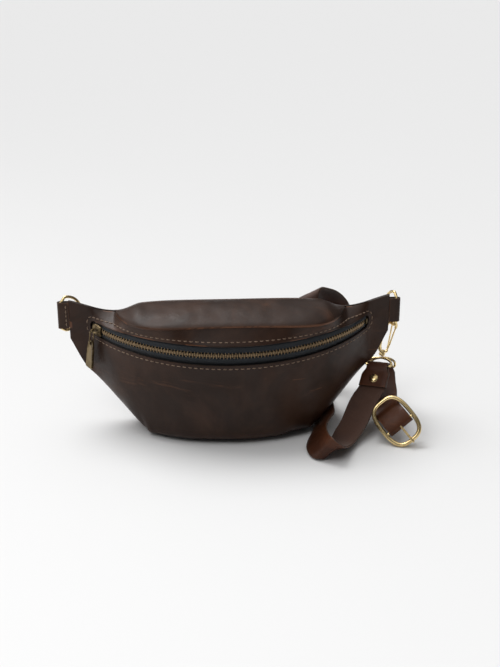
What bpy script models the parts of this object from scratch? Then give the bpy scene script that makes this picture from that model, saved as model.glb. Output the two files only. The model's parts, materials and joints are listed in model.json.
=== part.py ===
"""A leather waist pack with a metal zip, two D-rings, two snap hooks, a long strap and a buckle strap.

The frame: +X to the right of someone who looks at the zip, +Y from the zip to the wearer's body, +Z up.
The origin is the middle of the flat base. Lengths are in millimetres, and MM turns them into metres.
"""

import math

import bmesh
import bpy
from mathutils import Matrix, Vector

MM = 0.001

# Bag body
HALF_LENGTH = 175.0
BASE_HALF = 76.0
BACK_CENTRE_Y = 29.0
BACK_SWEEP = 11.0
TOP_HEIGHT = 130.0
CREASE_HEIGHT = 122.0
CREASE_Y = -30.0
VALLEY_X = 118.0
VALLEY_HEIGHT = 119.0
LEATHER = 1.8
WING_DEPTH = 4.4
GAP = 0.3
TAB_TAIL = 8.0
PANEL_HALF = HALF_LENGTH - 2.6 - TAB_TAIL - GAP

# Zip: the teeth lie on a circle in a plane that rises to the back
ZIP_RADIUS = 175.0
ZIP_FRONT_Y = -42.0
ZIP_FRONT_Z = 96.0
ZIP_TILT = math.radians(6.0)
ZIP_CENTRE = Vector(
    (0.0, ZIP_FRONT_Y + ZIP_RADIUS * math.cos(ZIP_TILT), ZIP_FRONT_Z + ZIP_RADIUS * math.sin(ZIP_TILT))
)
ZIP_AXIS = Vector((0.0, -math.sin(ZIP_TILT), math.cos(ZIP_TILT)))
SLOT_END_X = 143.0
SLOT_HALF_MID = 10.0
SLOT_HALF_END = 6.8
SLIDER_ANGLE = math.radians(-50.2)
TEETH_FROM = math.radians(-47.9)
TEETH_TO = math.radians(51.0)
STOP_ANGLE = math.radians(52.9)
TOOTH_PITCH = 3.35
TOOTH_WIDTH = 1.3
BRIDGE_RISE = 5.6
LINK_HALF = 2.3
LINK_LEG = 10.5
PULL_LEAN = 0.2

# Hardware
RING_WIRE = 1.5
RING_BAR_HALF = 16.0
RING_DEPTH = 23.0
HOOK_WIRE = 1.6
GATE_WIRE = 0.8
EYE_WIRE = 1.25
EYE_HALF = 13.6
# Each hook: its foot, how far along the ring its bow rests, the bow's room above the ring, and its eye's
# direction, length and direction across
LONG_HOOK_PLACE = ((158.5, 38.5, 58.5), 8.0, 3.6, (-0.36, -0.74, -0.58), 11.0, (0.845, -0.535, 0.03))
SHORT_HOOK_PLACE = ((161.8, 50.5, 53.7), 16.0, 4.7, (0.10, 0.0, -1.0), 12.0, (0.97, -0.2, -0.1))

# Straps
STRAP_WIDTH = 29.0
SHORT_STRAP_WIDTH = 25.0
STRAP_END_WIDTH = 22.0
STRAP_THICKNESS = 2.4
LAYER = 1.4
RIVET_RADIUS = 4.8
RIVET_HOLE = 1.7
LONG_LAP = 26.0
LONG_RIVET = 17.0
SHORT_LAP = 22.0
SHORT_RIVET = 13.0
# Each strap's route: a point on its middle line and the direction across it
LONG_ROUTE = (
    ((133.8, -4.0, 26.0), (0.845, -0.535, -0.02)),
    ((123.6, -24.0, 15.8), (0.84, -0.53, 0.10)),
    ((114.6, -40.0, 8.0), (0.84, -0.53, 0.12)),
    ((107.5, -52.0, 6.0), (0.80, -0.50, 0.30)),
    ((101.0, -63.0, 8.0), (0.72, -0.42, 0.54)),
    ((95.0, -73.0, 11.0), (0.58, -0.28, 0.77)),
    ((89.5, -79.5, 13.8), (0.42, -0.10, 0.90)),
    ((84.2, -80.5, 14.0), (0.36, 0.0, 0.93)),
    ((80.8, -74.5, 13.0), (0.48, 0.02, 0.88)),
    ((79.8, -64.0, 11.2), (0.66, 0.04, 0.75)),
    ((79.6, -51.0, 8.4), (0.84, 0.06, 0.54)),
    ((78.6, -39.0, 4.6), (0.95, 0.08, 0.26)),
    ((76.6, -29.5, 1.9), (1.0, 0.0, 0.02)),
    ((75.0, -16.0, 1.5), (1.0, 0.0, 0.0)),
    ((74.5, 8.0, 1.5), (1.0, 0.0, 0.0)),
    ((75.0, 36.0, 1.5), (1.0, -0.05, 0.0)),
    ((80.0, 58.0, 1.6), (0.97, -0.25, 0.0)),
    ((91.0, 78.0, 5.0), (0.90, -0.45, 0.0)),
    ((107.0, 95.0, 24.0), (0.85, -0.52, 0.05)),
    ((121.0, 103.0, 54.0), (0.88, -0.45, 0.05)),
    ((123.0, 96.0, 86.0), (0.88, -0.42, 0.22)),
    ((109.0, 79.0, 111.0), (0.80, -0.40, 0.45)),
    ((90.0, 63.5, 122.5), (0.78, -0.38, 0.50)),
    ((84.0, 56.0, 124.5), (0.77, -0.38, 0.52)),
    ((80.0, 50.5, 120.0), (0.82, -0.30, 0.46)),
    ((79.0, 48.5, 106.0), (0.93, -0.15, 0.30)),
    ((77.0, 49.0, 84.0), (1.0, 0.0, 0.10)),
    ((73.0, 52.0, 54.0), (1.0, 0.0, 0.05)),
    ((66.0, 60.0, 24.0), (0.97, 0.2, 0.0)),
    ((50.0, 70.0, 5.5), (0.60, 0.80, 0.0)),
    ((28.0, 75.0, 1.6), (0.15, 1.0, 0.0)),
    ((-5.0, 76.0, 1.5), (0.0, 1.0, 0.0)),
    ((-45.0, 76.0, 1.5), (0.0, 1.0, 0.0)),
)
SHORT_ROUTE = (
    ((162.6, 24.0, 28.0), (0.97, -0.08, 0.12)),
    ((163.0, 10.0, 26.6), (0.92, -0.04, 0.35)),
    ((163.6, -1.0, 31.0), (0.90, 0.02, 0.36)),
    ((161.0, -9.5, 35.6), (0.87, 0.06, 0.42)),
    ((155.2, -15.8, 37.2), (0.82, 0.10, 0.54)),
    ((150.8, -19.0, 36.8), (0.79, 0.12, 0.60)),
)

# Buckle
BUCKLE_CENTRE = Vector((162.0, -41.7, 22.0))
BUCKLE_LONG = Vector((0.577, -0.533, -0.619))
BUCKLE_SHORT = Vector((0.780, 0.135, 0.611))
FRAME_HALF_LONG = 24.0
FRAME_HALF_SHORT = 17.0
FRAME_WIRE = 2.2
BAR_OFFSET = 5.0
BAR_WIRE = 1.6
PRONG_WIRE = 1.1


def clear_scene():
    for obj in list(bpy.data.objects):
        bpy.data.objects.remove(obj, do_unlink=True)


def new_collection(name):
    collection = bpy.data.collections.new(name)
    bpy.context.scene.collection.children.link(collection)
    return collection


def material(name, colour, roughness, metallic):
    made = bpy.data.materials.get(name) or bpy.data.materials.new(name)
    made.use_nodes = True
    shader = made.node_tree.nodes["Principled BSDF"]
    shader.inputs["Base Color"].default_value = (*colour, 1.0)
    shader.inputs["Roughness"].default_value = roughness
    shader.inputs["Metallic"].default_value = metallic
    return made


def bag_leather():
    return material("bag_leather", (0.035, 0.022, 0.017), 0.38, 0.0)


def strap_leather():
    return material("strap_leather", (0.055, 0.024, 0.014), 0.45, 0.0)


def lining_cloth():
    return material("lining_cloth", (0.03, 0.03, 0.035), 0.9, 0.0)


def zip_cloth():
    return material("zip_cloth", (0.012, 0.015, 0.022), 0.85, 0.0)


def antique_brass():
    return material("antique_brass", (0.30, 0.20, 0.09), 0.4, 1.0)


def polished_brass():
    return material("polished_brass", (0.80, 0.58, 0.25), 0.2, 1.0)


def add_mesh(name, points, faces, finish, smooth_angle=35.0):
    """A mesh object from points in millimetres; its faces are made to point outwards."""
    mesh = bpy.data.meshes.new(name)
    mesh.from_pydata([tuple(Vector(p) * MM) for p in points], [], faces)
    edit = bmesh.new()
    edit.from_mesh(mesh)
    bmesh.ops.remove_doubles(edit, verts=edit.verts, dist=0.00002)
    bmesh.ops.recalc_face_normals(edit, faces=edit.faces)
    edit.to_mesh(mesh)
    edit.free()
    mesh.shade_smooth()
    mesh.set_sharp_from_angle(angle=math.radians(smooth_angle))
    mesh.materials.append(finish)
    obj = bpy.data.objects.new(name, mesh)
    PARTS.objects.link(obj)
    return obj


def set_origin(obj, point):
    """Moves an object's origin to a point in millimetres and leaves its surface where it is."""
    place = Vector(point) * MM
    obj.data.transform(Matrix.Translation(-place))
    obj.location = place


def loft(name, rings, finish, smooth_angle=35.0):
    """A closed solid through rings of equal length; the first and last are capped."""
    count = len(rings[0])
    points = [p for ring in rings for p in ring]
    faces = []
    for row in range(len(rings) - 1):
        for k in range(count):
            a = row * count + k
            b = row * count + (k + 1) % count
            faces.append((a, b, b + count, a + count))
    faces.append(tuple(range(count)))
    faces.append(tuple((len(rings) - 1) * count + k for k in range(count)))
    return add_mesh(name, points, faces, finish, smooth_angle)


def shell(name, rows, thickness, finish):
    """A leather sheet: the rows are its outer surface, and the inside is a thickness further in.

    Rows run along +X and the points of a row run down the outside, from the top to the back of the base.
    """
    across = len(rows[0])
    mesh = bpy.data.meshes.new(name)
    points = [tuple(Vector(p) * MM) for row in rows for p in row]
    faces = []
    for i in range(len(rows) - 1):
        for k in range(across - 1):
            a = i * across + k
            faces.append((a, a + 1, a + 1 + across, a + across))
    mesh.from_pydata(points, [], faces)
    mesh.shade_smooth()
    mesh.materials.append(finish)
    obj = bpy.data.objects.new(name, mesh)
    PARTS.objects.link(obj)
    solid = obj.modifiers.new("thickness", "SOLIDIFY")
    solid.thickness = thickness * MM
    solid.offset = -1.0
    solid.use_even_offset = False
    return obj


def cut(obj, cutter):
    """Cuts one object with another, which becomes a hidden guide."""
    cutter.hide_render = True
    cutter.display_type = "WIRE"
    for owner in list(cutter.users_collection):
        owner.objects.unlink(cutter)
    CUTTERS.objects.link(cutter)
    difference = obj.modifiers.new("cut", "BOOLEAN")
    difference.operation = "DIFFERENCE"
    difference.solver = "EXACT"
    difference.object = cutter


def smooth_path(points, per_span):
    """Points of a Catmull-Rom curve through the given points."""
    path = [Vector(p) for p in points]
    padded = [path[0] * 2 - path[1], *path, path[-1] * 2 - path[-2]]
    found = []
    for i in range(1, len(padded) - 2):
        a, b, c, d = padded[i - 1 : i + 3]
        for step in range(per_span):
            t = step / per_span
            cubic = (2 * a - 5 * b + 4 * c - d) * t**2 + (3 * b - a - 3 * c + d) * t**3
            found.append(0.5 * (2 * b + (c - a) * t + cubic))
    found.append(path[-1])
    return found


def wire(name, points, radius, finish, closed=False, sides=8):
    """A round wire along points, swept with a frame that turns as little as possible."""
    path = [Vector(p) for p in points]
    count = len(path)
    rings = []
    side = None
    for i, point in enumerate(path):
        before = path[(i - 1) % count] if closed or i else point
        after = path[(i + 1) % count] if closed or i < count - 1 else point
        along = (after - before).normalized()
        if side is None:
            side = along.orthogonal().normalized()
        side = (side - along * side.dot(along)).normalized()
        up = along.cross(side)
        rings.append(
            [
                point + radius * (math.cos(a) * side + math.sin(a) * up)
                for a in (2 * math.pi * k / sides for k in range(sides))
            ]
        )
    if not closed:
        return loft(name, rings, finish, 60.0)
    step = path[0] - path[-1]
    best = min(range(sides), key=lambda k: (rings[0][k] - rings[-1][0] - step).length)
    points_all = [p for ring in rings for p in ring]
    faces = []
    for row in range(count):
        following = (row + 1) % count
        shift = best if following == 0 else 0
        for k in range(sides):
            a = row * sides + k
            b = row * sides + (k + 1) % sides
            c = following * sides + (k + 1 + shift) % sides
            d = following * sides + (k + shift) % sides
            faces.append((a, b, c, d))
    return add_mesh(name, points_all, faces, finish, 60.0)


def ribbon(name, centres, widths, width_at, thickness, finish):
    """A flat strap along centres; widths are the directions across it, width_at its width by length."""
    rings = []
    count = len(centres)
    length = 0.0
    for i in range(count):
        along = (centres[min(i + 1, count - 1)] - centres[max(i - 1, 0)]).normalized()
        across = Vector(widths[i])
        across = (across - along * across.dot(along)).normalized()
        face = along.cross(across)
        if i:
            length += (centres[i] - centres[i - 1]).length
        width = width_at(length)
        half = across * width / 2
        bevel = across * (width / 2 - 0.6)
        lift = face * thickness / 2
        low = face * (thickness / 2 - 0.5)
        c = centres[i]
        corners = [-half - low, low - half, lift - bevel, bevel + lift]
        corners += [half + low, half - low, bevel - lift, -bevel - lift]
        rings.append([c + corner for corner in corners])
    return loft(name, rings, finish, 40.0)


# The shape of the bag, as functions of the distance along its length


def back_y(x):
    return BACK_CENTRE_Y + BACK_SWEEP * (x / HALF_LENGTH) ** 2


def zip_point(angle, out=0.0, up=0.0):
    """A point of the zip's circle, moved outwards and along the circle's axis."""
    forward = Vector((0.0, -math.cos(ZIP_TILT), -math.sin(ZIP_TILT)))
    outwards = Vector((math.sin(angle), 0.0, 0.0)) + forward * math.cos(angle)
    return ZIP_CENTRE + outwards * (ZIP_RADIUS + out) + ZIP_AXIS * up


def zip_angle(x):
    return math.asin(max(-0.999, min(0.999, x / ZIP_RADIUS)))


def soft_min(a, b, width):
    return (a + b - math.sqrt((a - b) ** 2 + width**2)) / 2


def front_y(x):
    """The outer surface of the front leather at the height of the zip."""
    arc = zip_point(zip_angle(x), 1.2).y
    return soft_min(arc, back_y(x) - WING_DEPTH, 3.0)


def zip_z(x):
    return zip_point(zip_angle(x)).z


def blend(x, start, end):
    t = max(0.0, min(1.0, (x - start) / (end - start)))
    return t * t * (3 - 2 * t)


def top_z(x):
    """The back panel's top edge: level in the middle, a dip beside the top panel, a rise to each tip."""
    a = abs(x)
    middle = TOP_HEIGHT - 4.0 * (a / 100.0) ** 4
    dip = VALLEY_HEIGHT + 11.0 * blend(a, VALLEY_X + 2, HALF_LENGTH)
    return middle + (dip - middle) * blend(a, 90.0, VALLEY_X)


def low_z(x):
    """The lower edge: a flat base and slopes up to the tips. The strap under the base lifts its right end."""
    a = abs(x)
    slope = max(0.0, a - BASE_HALF - 4.0)
    low = -1.5 + 1.5 * blend(a, 70, 84) + 0.86 * slope + 22.0 * blend(a, 145.0, 172.0)
    return max(low, 3.4 * blend(x, 46.0, 59.0))


def crease(x):
    """The seam of the front and top panels. Beyond its ends it is the top edge of the wing."""
    a = min(abs(x) / VALLEY_X, 1.0)
    y = CREASE_Y + (back_y(x) - WING_DEPTH - CREASE_Y) * a**7
    z = CREASE_HEIGHT - (CREASE_HEIGHT - VALLEY_HEIGHT) * a**2
    if abs(x) > VALLEY_X:
        z = top_z(x)
    return Vector((x, y, z))


def slot_half(x):
    a = abs(x) / SLOT_END_X
    return SLOT_HALF_MID - (SLOT_HALF_MID - SLOT_HALF_END) * a**3


def front_section(x):
    """Points down the outside of the front leather, from the crease to the rear of the base."""
    top = crease(x)
    y = front_y(x)
    z = zip_z(x)
    half = slot_half(x) + 0.5
    upper = Vector((x, y + 0.4, z + half))
    lower = Vector((x, y, z - half))
    if upper.z > top.z - 2:
        upper.z = top.z - 2
    points = [top.lerp(upper, k / 4) for k in range(4)]
    points += [upper, Vector((x, y, z)), lower]
    rear = back_y(x) - LEATHER - 0.8
    end = Vector((x, rear + (y + 0.2 - rear) * blend(abs(x), 138.0, 156.0), low_z(x)))
    power = 2.5 + 3.0 * (1 - blend(abs(x), 60.0, 150.0))
    bulge = 2.5 * (1 - blend(abs(x), 60.0, 140.0))
    steps = 13
    for k in range(1, steps + 1):
        t = k / steps * math.pi / 2
        across = math.cos(t) ** (2 / power)
        down = math.sin(t) ** (2 / power)
        bow = bulge * math.sin(2 * t) ** 2 * across
        y = end.y + (lower.y - end.y) * across - bow
        points.append(Vector((x, y, lower.z + (end.z - lower.z) * down)))
    for p in points:
        p.z = max(p.z, 0.0, 3.4 * blend(x, 46.0, 59.0))
    return points


def stations(limit, count):
    """Positions along X, closer together near the ends."""
    return [limit * math.sin(math.pi / 2 * (2 * k / (count - 1) - 1)) for k in range(count)]


def make_front_panel():
    rows = [front_section(x) for x in stations(PANEL_HALF, 39)]
    panel = shell("front_panel", rows, LEATHER, bag_leather())
    cut(panel, slot_cutter())
    return panel


def slot_cutter():
    """A curved bar through the leather, as high as the slot and round at its ends."""
    rings = []
    end = zip_angle(SLOT_END_X)
    count = 60
    for k in range(count + 1):
        angle = end * math.sin(math.pi / 2 * (2 * k / count - 1))
        x = ZIP_RADIUS * math.sin(angle)
        along = (end - abs(angle)) * ZIP_RADIUS
        half = slot_half(x)
        if along < half:
            half = math.sqrt(max(half**2 - (half - along) ** 2, 0.04))
        corners = ((-7, -half), (6, -half), (6, half), (-7, half))
        rings.append([zip_point(angle, out, up) for out, up in corners])
    return loft("slot_cutter", rings, bag_leather())


def make_back_panel():
    rings = []
    for x in stations(PANEL_HALF, 41):
        y = back_y(x)
        low = max(low_z(x), 0.0)
        high = top_z(x)
        levels = [low + (high - low) * k / 4 for k in range(5)]
        outer = [Vector((x, y, z)) for z in levels]
        inner = [Vector((x, y - LEATHER, z)) for z in reversed(levels)]
        rings.append(outer + inner)
    return loft("back_panel", rings, bag_leather())


def make_top_panel():
    """The panel seen from above, from the crease to the back panel's top edge."""
    rings = []
    for x in stations(VALLEY_X - 6.0, 29):
        front = crease(x) + Vector((0, 1.1, 1.9))
        rear = Vector((x, back_y(x) - LEATHER - GAP, top_z(x) - 0.2))
        depth = (rear - front).length
        crown = min(4.0, depth * 0.09)
        outer = []
        inner = []
        for k in range(7):
            t = k / 6
            point = front.lerp(rear, t)
            lift = crown * math.sin(math.pi * t)
            outer.append(point + Vector((0, 0, lift)))
            inset = min(0.45, LEATHER / max(depth, 1))
            under = front.lerp(rear, inset * 0.6 + t * (1 - inset * 0.6))
            inner.append(under + Vector((0, 0, lift - LEATHER + 0.3)))
        rings.append(outer + list(reversed(inner)))
    return loft("top_panel", rings, bag_leather())


def make_lining(name, x_limit, depth_at):
    """A cloth sheet inside the bag."""
    rings = []
    for x in stations(x_limit, 15):
        y = depth_at(x)
        low = max(low_z(x), 0) + 16.0
        high = zip_z(x) - 19.0
        corners = ((y, low), (y, high), (y + 0.8, high), (y + 0.8, low))
        rings.append([Vector((x, *corner)) for corner in corners])
    return loft(name, rings, lining_cloth())


def make_zip_tape(name, side):
    """Half of the zip's tape, from beside its teeth to under the leather."""
    rings = []
    for k in range(49):
        angle = math.radians(-52.4 + 105.4 * k / 48)
        half = slot_half(ZIP_RADIUS * math.sin(angle))
        depth, reach = (-6.0, half + 0.8) if side > 0 else (-2.9, half + 2.0)
        outer = [(4.0, -1.2), (half - 2.0, -1.3), (reach, depth)]
        inner = [(reach - 0.4, depth - 0.6), (half - 2.3, -1.9), (4.0, -1.8)]
        rings.append([zip_point(angle, out, side * up) for up, out in outer + inner])
    return loft(name, rings, zip_cloth())


def make_zip_teeth(name, side):
    """One row of metal teeth on a solid bead: the row is a rail whose height steps out at each tooth."""
    pitch = TOOTH_PITCH / ZIP_RADIUS
    width = TOOTH_WIDTH / ZIP_RADIUS
    shift = 0.0 if side > 0 else pitch / 2
    rings = []
    angle = TEETH_FROM + shift
    flank = 0.12 / ZIP_RADIUS

    def ring(at, reach):
        corners = ((3.7, -2.7), (3.7, 0.2), (-reach, 0.3), (-reach, -2.7))
        return [zip_point(at, out, side * up) for up, out in corners]

    while angle < TEETH_TO:
        rings.append(ring(angle, 1.1))
        rings.append(ring(angle + width, 1.1))
        rings.append(ring(angle + width + flank, -1.25))
        rings.append(ring(angle + pitch - flank, -1.25))
        angle += pitch
    return loft(name, rings, antique_brass())


def make_zip_stop():
    """The metal clip across both tapes where the teeth end."""
    half = 1.3 / ZIP_RADIUS
    corners = ((-2.7, -3.4), (0.5, -3.4), (0.5, 3.4), (-2.7, 3.4))
    rings = [[zip_point(STOP_ANGLE + d, out, up) for out, up in corners] for d in (-half, half)]
    return loft("zip_stop", rings, antique_brass())


def slider_frame():
    """The slider's own directions: along the zip, outwards and up."""
    along = (zip_point(SLIDER_ANGLE + 0.01) - zip_point(SLIDER_ANGLE - 0.01)).normalized()
    outwards = (zip_point(SLIDER_ANGLE, 1.0) - zip_point(SLIDER_ANGLE)).normalized()
    return along, outwards, ZIP_AXIS.copy()


def make_slider():
    """The outer plate with its side flanges and the bridge that carries the link."""
    count = 9
    rings = []
    for k in range(count):
        s = -6.5 + 13.0 * k / (count - 1)
        angle = SLIDER_ANGLE + s / ZIP_RADIUS
        half = 5.9 - 1.0 * blend(abs(s), 3.0, 6.5)
        rings.append(
            [
                zip_point(angle, out, up)
                for out, up in (
                    (-0.5, -half),
                    (1.6, -half),
                    (2.7, -half + 1.2),
                    (2.7, half - 1.2),
                    (1.6, half),
                    (-0.5, half),
                    (-0.5, half - 0.9),
                    (0.9, half - 1.0),
                    (0.9, -half + 1.0),
                    (-0.5, -half + 0.9),
                )
            ]
        )
    body = loft("zip_slider", rings, antique_brass())
    along, outwards, up = slider_frame()
    base = zip_point(SLIDER_ANGLE, 1.8)
    arch = []
    for k in range(13):
        a = math.pi * k / 12
        arch.append(base + along * (4.4 * math.cos(a)) + outwards * (BRIDGE_RISE * math.sin(a) ** 0.7))
    bridge = wire("zip_slider_bridge", arch, 0.9, antique_brass())
    join_into(body, bridge)
    set_origin(body, ZIP_CENTRE)
    return body


def join_into(obj, other):
    """Joins another object to this one with a Boolean union and keeps the other as a hidden guide."""
    other.hide_render = True
    other.display_type = "WIRE"
    for owner in list(other.users_collection):
        owner.objects.unlink(other)
    CUTTERS.objects.link(other)
    union = obj.modifiers.new("join", "BOOLEAN")
    union.operation = "UNION"
    union.solver = "EXACT"
    union.object = other


def pull_frame():
    """The pull's directions: across it, out from the bag and down. Last, the middle of the bridge's wire."""
    along, outwards, _ = slider_frame()
    level = Vector((along.x, along.y, 0)).normalized()
    out = Vector((outwards.x, outwards.y, 0)).normalized()
    drop = (Vector((0, 0, -1)) - level * PULL_LEAN).normalized()
    across = (level - drop * level.dot(drop)).normalized()
    return across, out, drop, zip_point(SLIDER_ANGLE, 1.8 + BRIDGE_RISE)


def make_pull_link():
    """The wire link that hangs from the bridge: two legs and a half turn at each end."""
    _, out, drop, pivot = pull_frame()
    loop = []
    for k in range(7):
        a = math.pi * k / 6
        loop.append(pivot + out * (LINK_HALF * math.cos(a)) - drop * (LINK_HALF * math.sin(a)))
    for k in range(7):
        a = math.pi * k / 6
        loop.append(pivot - out * (LINK_HALF * math.cos(a)) + drop * (LINK_LEG + LINK_HALF * math.sin(a)))
    link = wire("zip_pull_link", loop, 0.7, antique_brass(), closed=True, sides=6)
    set_origin(link, pivot)
    return link


def make_pull_bar():
    """The flat bar, with the hole that the link passes through."""
    across, out, drop, pivot = pull_frame()
    foot = pivot + drop * (LINK_LEG + LINK_HALF)
    rings = []
    outline = ((-2.6, 2.4, 1.1), (-1.6, 3.4, 1.3), (3.0, 3.6, 1.3), (5.0, 3.7, 1.7), (27.5, 3.8, 1.7))
    for down, half, thick in (*outline, (28.6, 3.3, 1.3)):
        corners = ((-half, -thick), (half, -thick), (half, thick), (-half, thick))
        rings.append([foot + drop * down + across * side + out * deep for side, deep in corners])
    bar = loft("zip_pull_bar", rings, antique_brass())
    hole = [foot - out * 4 + drop * 0.5, foot + out * 4 + drop * 0.5]
    cut(bar, wire("pull_bar_hole", hole, 1.8, antique_brass(), sides=12))
    set_origin(bar, foot)
    return bar


def ring_side(side):
    """The place of a D-ring's bar and the direction of its bow."""
    x = side * (HALF_LENGTH - 2.6)
    bar = Vector((x, back_y(x) - WING_DEPTH / 2, 113.5 if side < 0 else 111.0))
    turn = math.radians(35 if side < 0 else 72)
    bow = Vector((-side * math.cos(turn), math.sin(turn), 0))
    return bar, bow


def make_ring(name, side):
    bar, bow = ring_side(side)
    loop = [bar + Vector((0, 0, z)) for z in (-RING_BAR_HALF + 2, 0, RING_BAR_HALF - 2)]
    count = 15
    for k in range(count):
        a = math.pi / 2 - math.pi * k / (count - 1)
        reach = 5.0 + (RING_DEPTH - 5.0) * math.cos(a)
        loop.append(bar + bow * reach + Vector((0, 0, 18.0 * math.sin(a))))
    ring = wire(name, loop, RING_WIRE, polished_brass(), closed=True)
    set_origin(ring, bar)
    return ring


def make_ring_tab(name, side):
    """A leather strip folded round the ring's bar, with both ends at the wing."""
    bar, _ = ring_side(side)
    inner = RING_WIRE + GAP + 0.25
    section = []
    for radius, order in ((inner + 1.5, range(9)), (inner, reversed(range(9)))):
        arc = []
        for k in order:
            a = -math.pi / 2 + math.pi * k / 8
            arc.append(Vector((side * math.cos(a), math.sin(a), 0)) * radius)
        tail = Vector((-side * TAB_TAIL, 0, 0))
        section += [arc[0] + tail, *arc, arc[-1] + tail]
    heights = (99.3, 108.0, 116.0, min(127.7, bar.z + 13.8))
    rings = [[Vector((bar.x, bar.y, z)) + p for p in section] for z in heights]
    return loft(name, rings, bag_leather())


class HookPlace:
    """Where a snap hook sits: its foot at the swivel, its length axis and the side it is seen from."""

    def __init__(self, foot, ring_distance, clearance, eye_down, eye_length, eye_across):
        bar, bow = ring_side(1)
        a = -math.acos((ring_distance - 5.0) / (RING_DEPTH - 5.0))
        self.ring_point = bar + bow * ring_distance + Vector((0, 0, 18.0 * math.sin(a)))
        self.foot = Vector(foot)
        self.up = (self.ring_point - self.foot).normalized()
        self.length = (self.ring_point - self.foot).length + clearance
        self.face = (-bow - self.up * (-bow).dot(self.up)).normalized()
        self.right = self.up.cross(self.face)
        self.down = Vector(eye_down).normalized()
        self.across = Vector(eye_across)
        self.across = (self.across - self.down * self.across.dot(self.down)).normalized()
        self.eye_length = eye_length

    def at(self, right, up, face=0.0):
        return self.foot + self.right * right + self.up * up + self.face * face

    def eye_bar(self):
        return self.foot + self.down * self.eye_length


def make_hook(name, place):
    """A wire hook that grows from a round barrel."""
    reach = place.length
    spine = [(0, 4.0), (-3.2, 7.5), (-5.6, 12), (-6.3, 20), (-6.2, reach - 11), (-4.9, reach - 4.5)]
    spine += [(-1.6, reach - 0.5), (2.6, reach - 0.8), (5.4, reach - 3.6), (6.1, reach - 6.4)]
    path = smooth_path([place.at(r, u) for r, u in spine], 3)
    body = wire(name, path, HOOK_WIRE, polished_brass())
    rings = []
    for up, radius in ((1.0, 1.5), (1.6, 2.6), (3.0, 3.2), (5.0, 3.0), (6.8, 3.3), (7.6, 2.6)):
        turns = (2 * math.pi * k / 12 for k in range(12))
        rings.append([place.at(radius * math.cos(a), up, radius * math.sin(a)) for a in turns])
    join_into(body, loft(name + "_barrel", rings, polished_brass()))
    arm = [place.at(0, 4.8), place.at(2.6, 5.8), place.at(4.6, 7.2)]
    join_into(body, wire(name + "_arm", arm, 1.2, polished_brass()))
    set_origin(body, place.foot)
    return body


def make_gate(name, place):
    """The thin sprung bar that closes the hook's mouth."""
    foot = place.at(4.9, 9.0)
    path = [foot, place.at(5.6, place.length / 2), place.at(6.1, place.length - 7.4)]
    gate = wire(name, path, GATE_WIRE, polished_brass())
    set_origin(gate, foot)
    return gate


def make_eye(name, place):
    """A D-shaped eye under the hook: its crown at the swivel, two shoulders and a straight bar."""
    half = EYE_HALF
    low = place.eye_length
    right = [(0.0, 0.9), (4.0, 1.3), (8.5, 2.6), (half - 0.8, 5.8), (half, low - 2.2)]
    right += [(half - 1.0, low - 0.4), (half - 2.4, low)]
    left = [(-r, d) for r, d in reversed(right[1:])]
    loop = [place.foot + place.across * r + place.down * d for r, d in [*right, *left]]
    eye = wire(name, loop, EYE_WIRE, polished_brass(), closed=True)
    set_origin(eye, place.eye_bar())
    return eye


def round_bar(bar, along, face, radius, lap, spread):
    """Centres of a strap folded round a bar, from the lap's end round to where the strap leaves.

    The lap lies on the side that face points to, and the layers close up to their own thickness.
    """
    found = []
    for k in range(5):
        s = lap * (1 - k / 4) + 3.0 * k / 4
        found.append(bar + along * s + face * (LAYER + (radius - LAYER) * (1 - blend(s, 2.0, spread))))
    for k in range(9):
        a = math.pi * k / 8
        found.append(bar + face * (radius * math.cos(a)) - along * (radius * math.sin(a)))
    for s in (3.0, 5.5, spread):
        found.append(bar + along * s - face * (LAYER + (radius - LAYER) * (1 - blend(s, 2.0, spread))))
    return found


def on_floor(centres, widths, width, thickness):
    """Lifts the centres of a strap so that none of it is below the floor."""
    for i, centre in enumerate(centres):
        along = (centres[min(i + 1, len(centres) - 1)] - centres[max(i - 1, 0)]).normalized()
        across = (widths[i] - along * along.dot(widths[i])).normalized()
        face = along.cross(across)
        least = abs(across.z) * width / 2 + abs(face.z) * thickness / 2 + GAP
        centre.z = max(centre.z, least)


def long_fold():
    """The long strap's directions at the fold: along it, across it, and out of its upper face."""
    bar = LONG_HOOK.eye_bar()
    across = LONG_HOOK.across
    along = Vector((144.2, 14.5, 36.6)) - bar
    along = (along - across * across.dot(along)).normalized()
    return bar, along, across, along.cross(across)


def make_long_strap():
    """From its fold on a hook's eye to a turn on the floor, under the bag, up behind it and down again."""
    bar, along, across, face = long_fold()
    start = round_bar(bar, along, face, EYE_WIRE + 0.35 + STRAP_THICKNESS / 2, LONG_LAP, 8.0)
    route = [bar + along * 20 - face * LAYER, bar + along * 26 - face * LAYER]
    route += [Vector(p) for p, _ in LONG_ROUTE]
    turns = [across, across] + [Vector(w) for _, w in LONG_ROUTE]
    centres = start + smooth_path(route, 4)
    widths = [across] * len(start) + smooth_path(turns, 4)
    for _ in range(3):
        on_floor(centres, widths, STRAP_WIDTH, STRAP_THICKNESS)

    def width_at(length):
        wider = blend(abs(length - LONG_LAP - 3.0), 6.0, 16.0)
        return STRAP_END_WIDTH + (STRAP_WIDTH - STRAP_END_WIDTH) * wider

    strap = ribbon("strap_long", centres, widths, width_at, STRAP_THICKNESS, strap_leather())
    cut(strap, rivet_hole("long_rivet_hole", bar + along * LONG_RIVET, face))
    return strap


def short_fold():
    """The short strap's directions at the fold: along it, across it, and out of its upper face."""
    bar = SHORT_HOOK.eye_bar()
    across = SHORT_HOOK.across
    along = Vector((162.2, 36.0, 31.0)) - bar
    along = (along - across * across.dot(along)).normalized()
    return bar, along, across, along.cross(across)


def buckle_frame():
    """The buckle's directions: along it, across it, out of its face; and the middle of its bar."""
    long = BUCKLE_LONG.normalized()
    short = (BUCKLE_SHORT - long * long.dot(BUCKLE_SHORT)).normalized()
    return long, short, long.cross(short), BUCKLE_CENTRE + long * BAR_OFFSET


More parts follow.
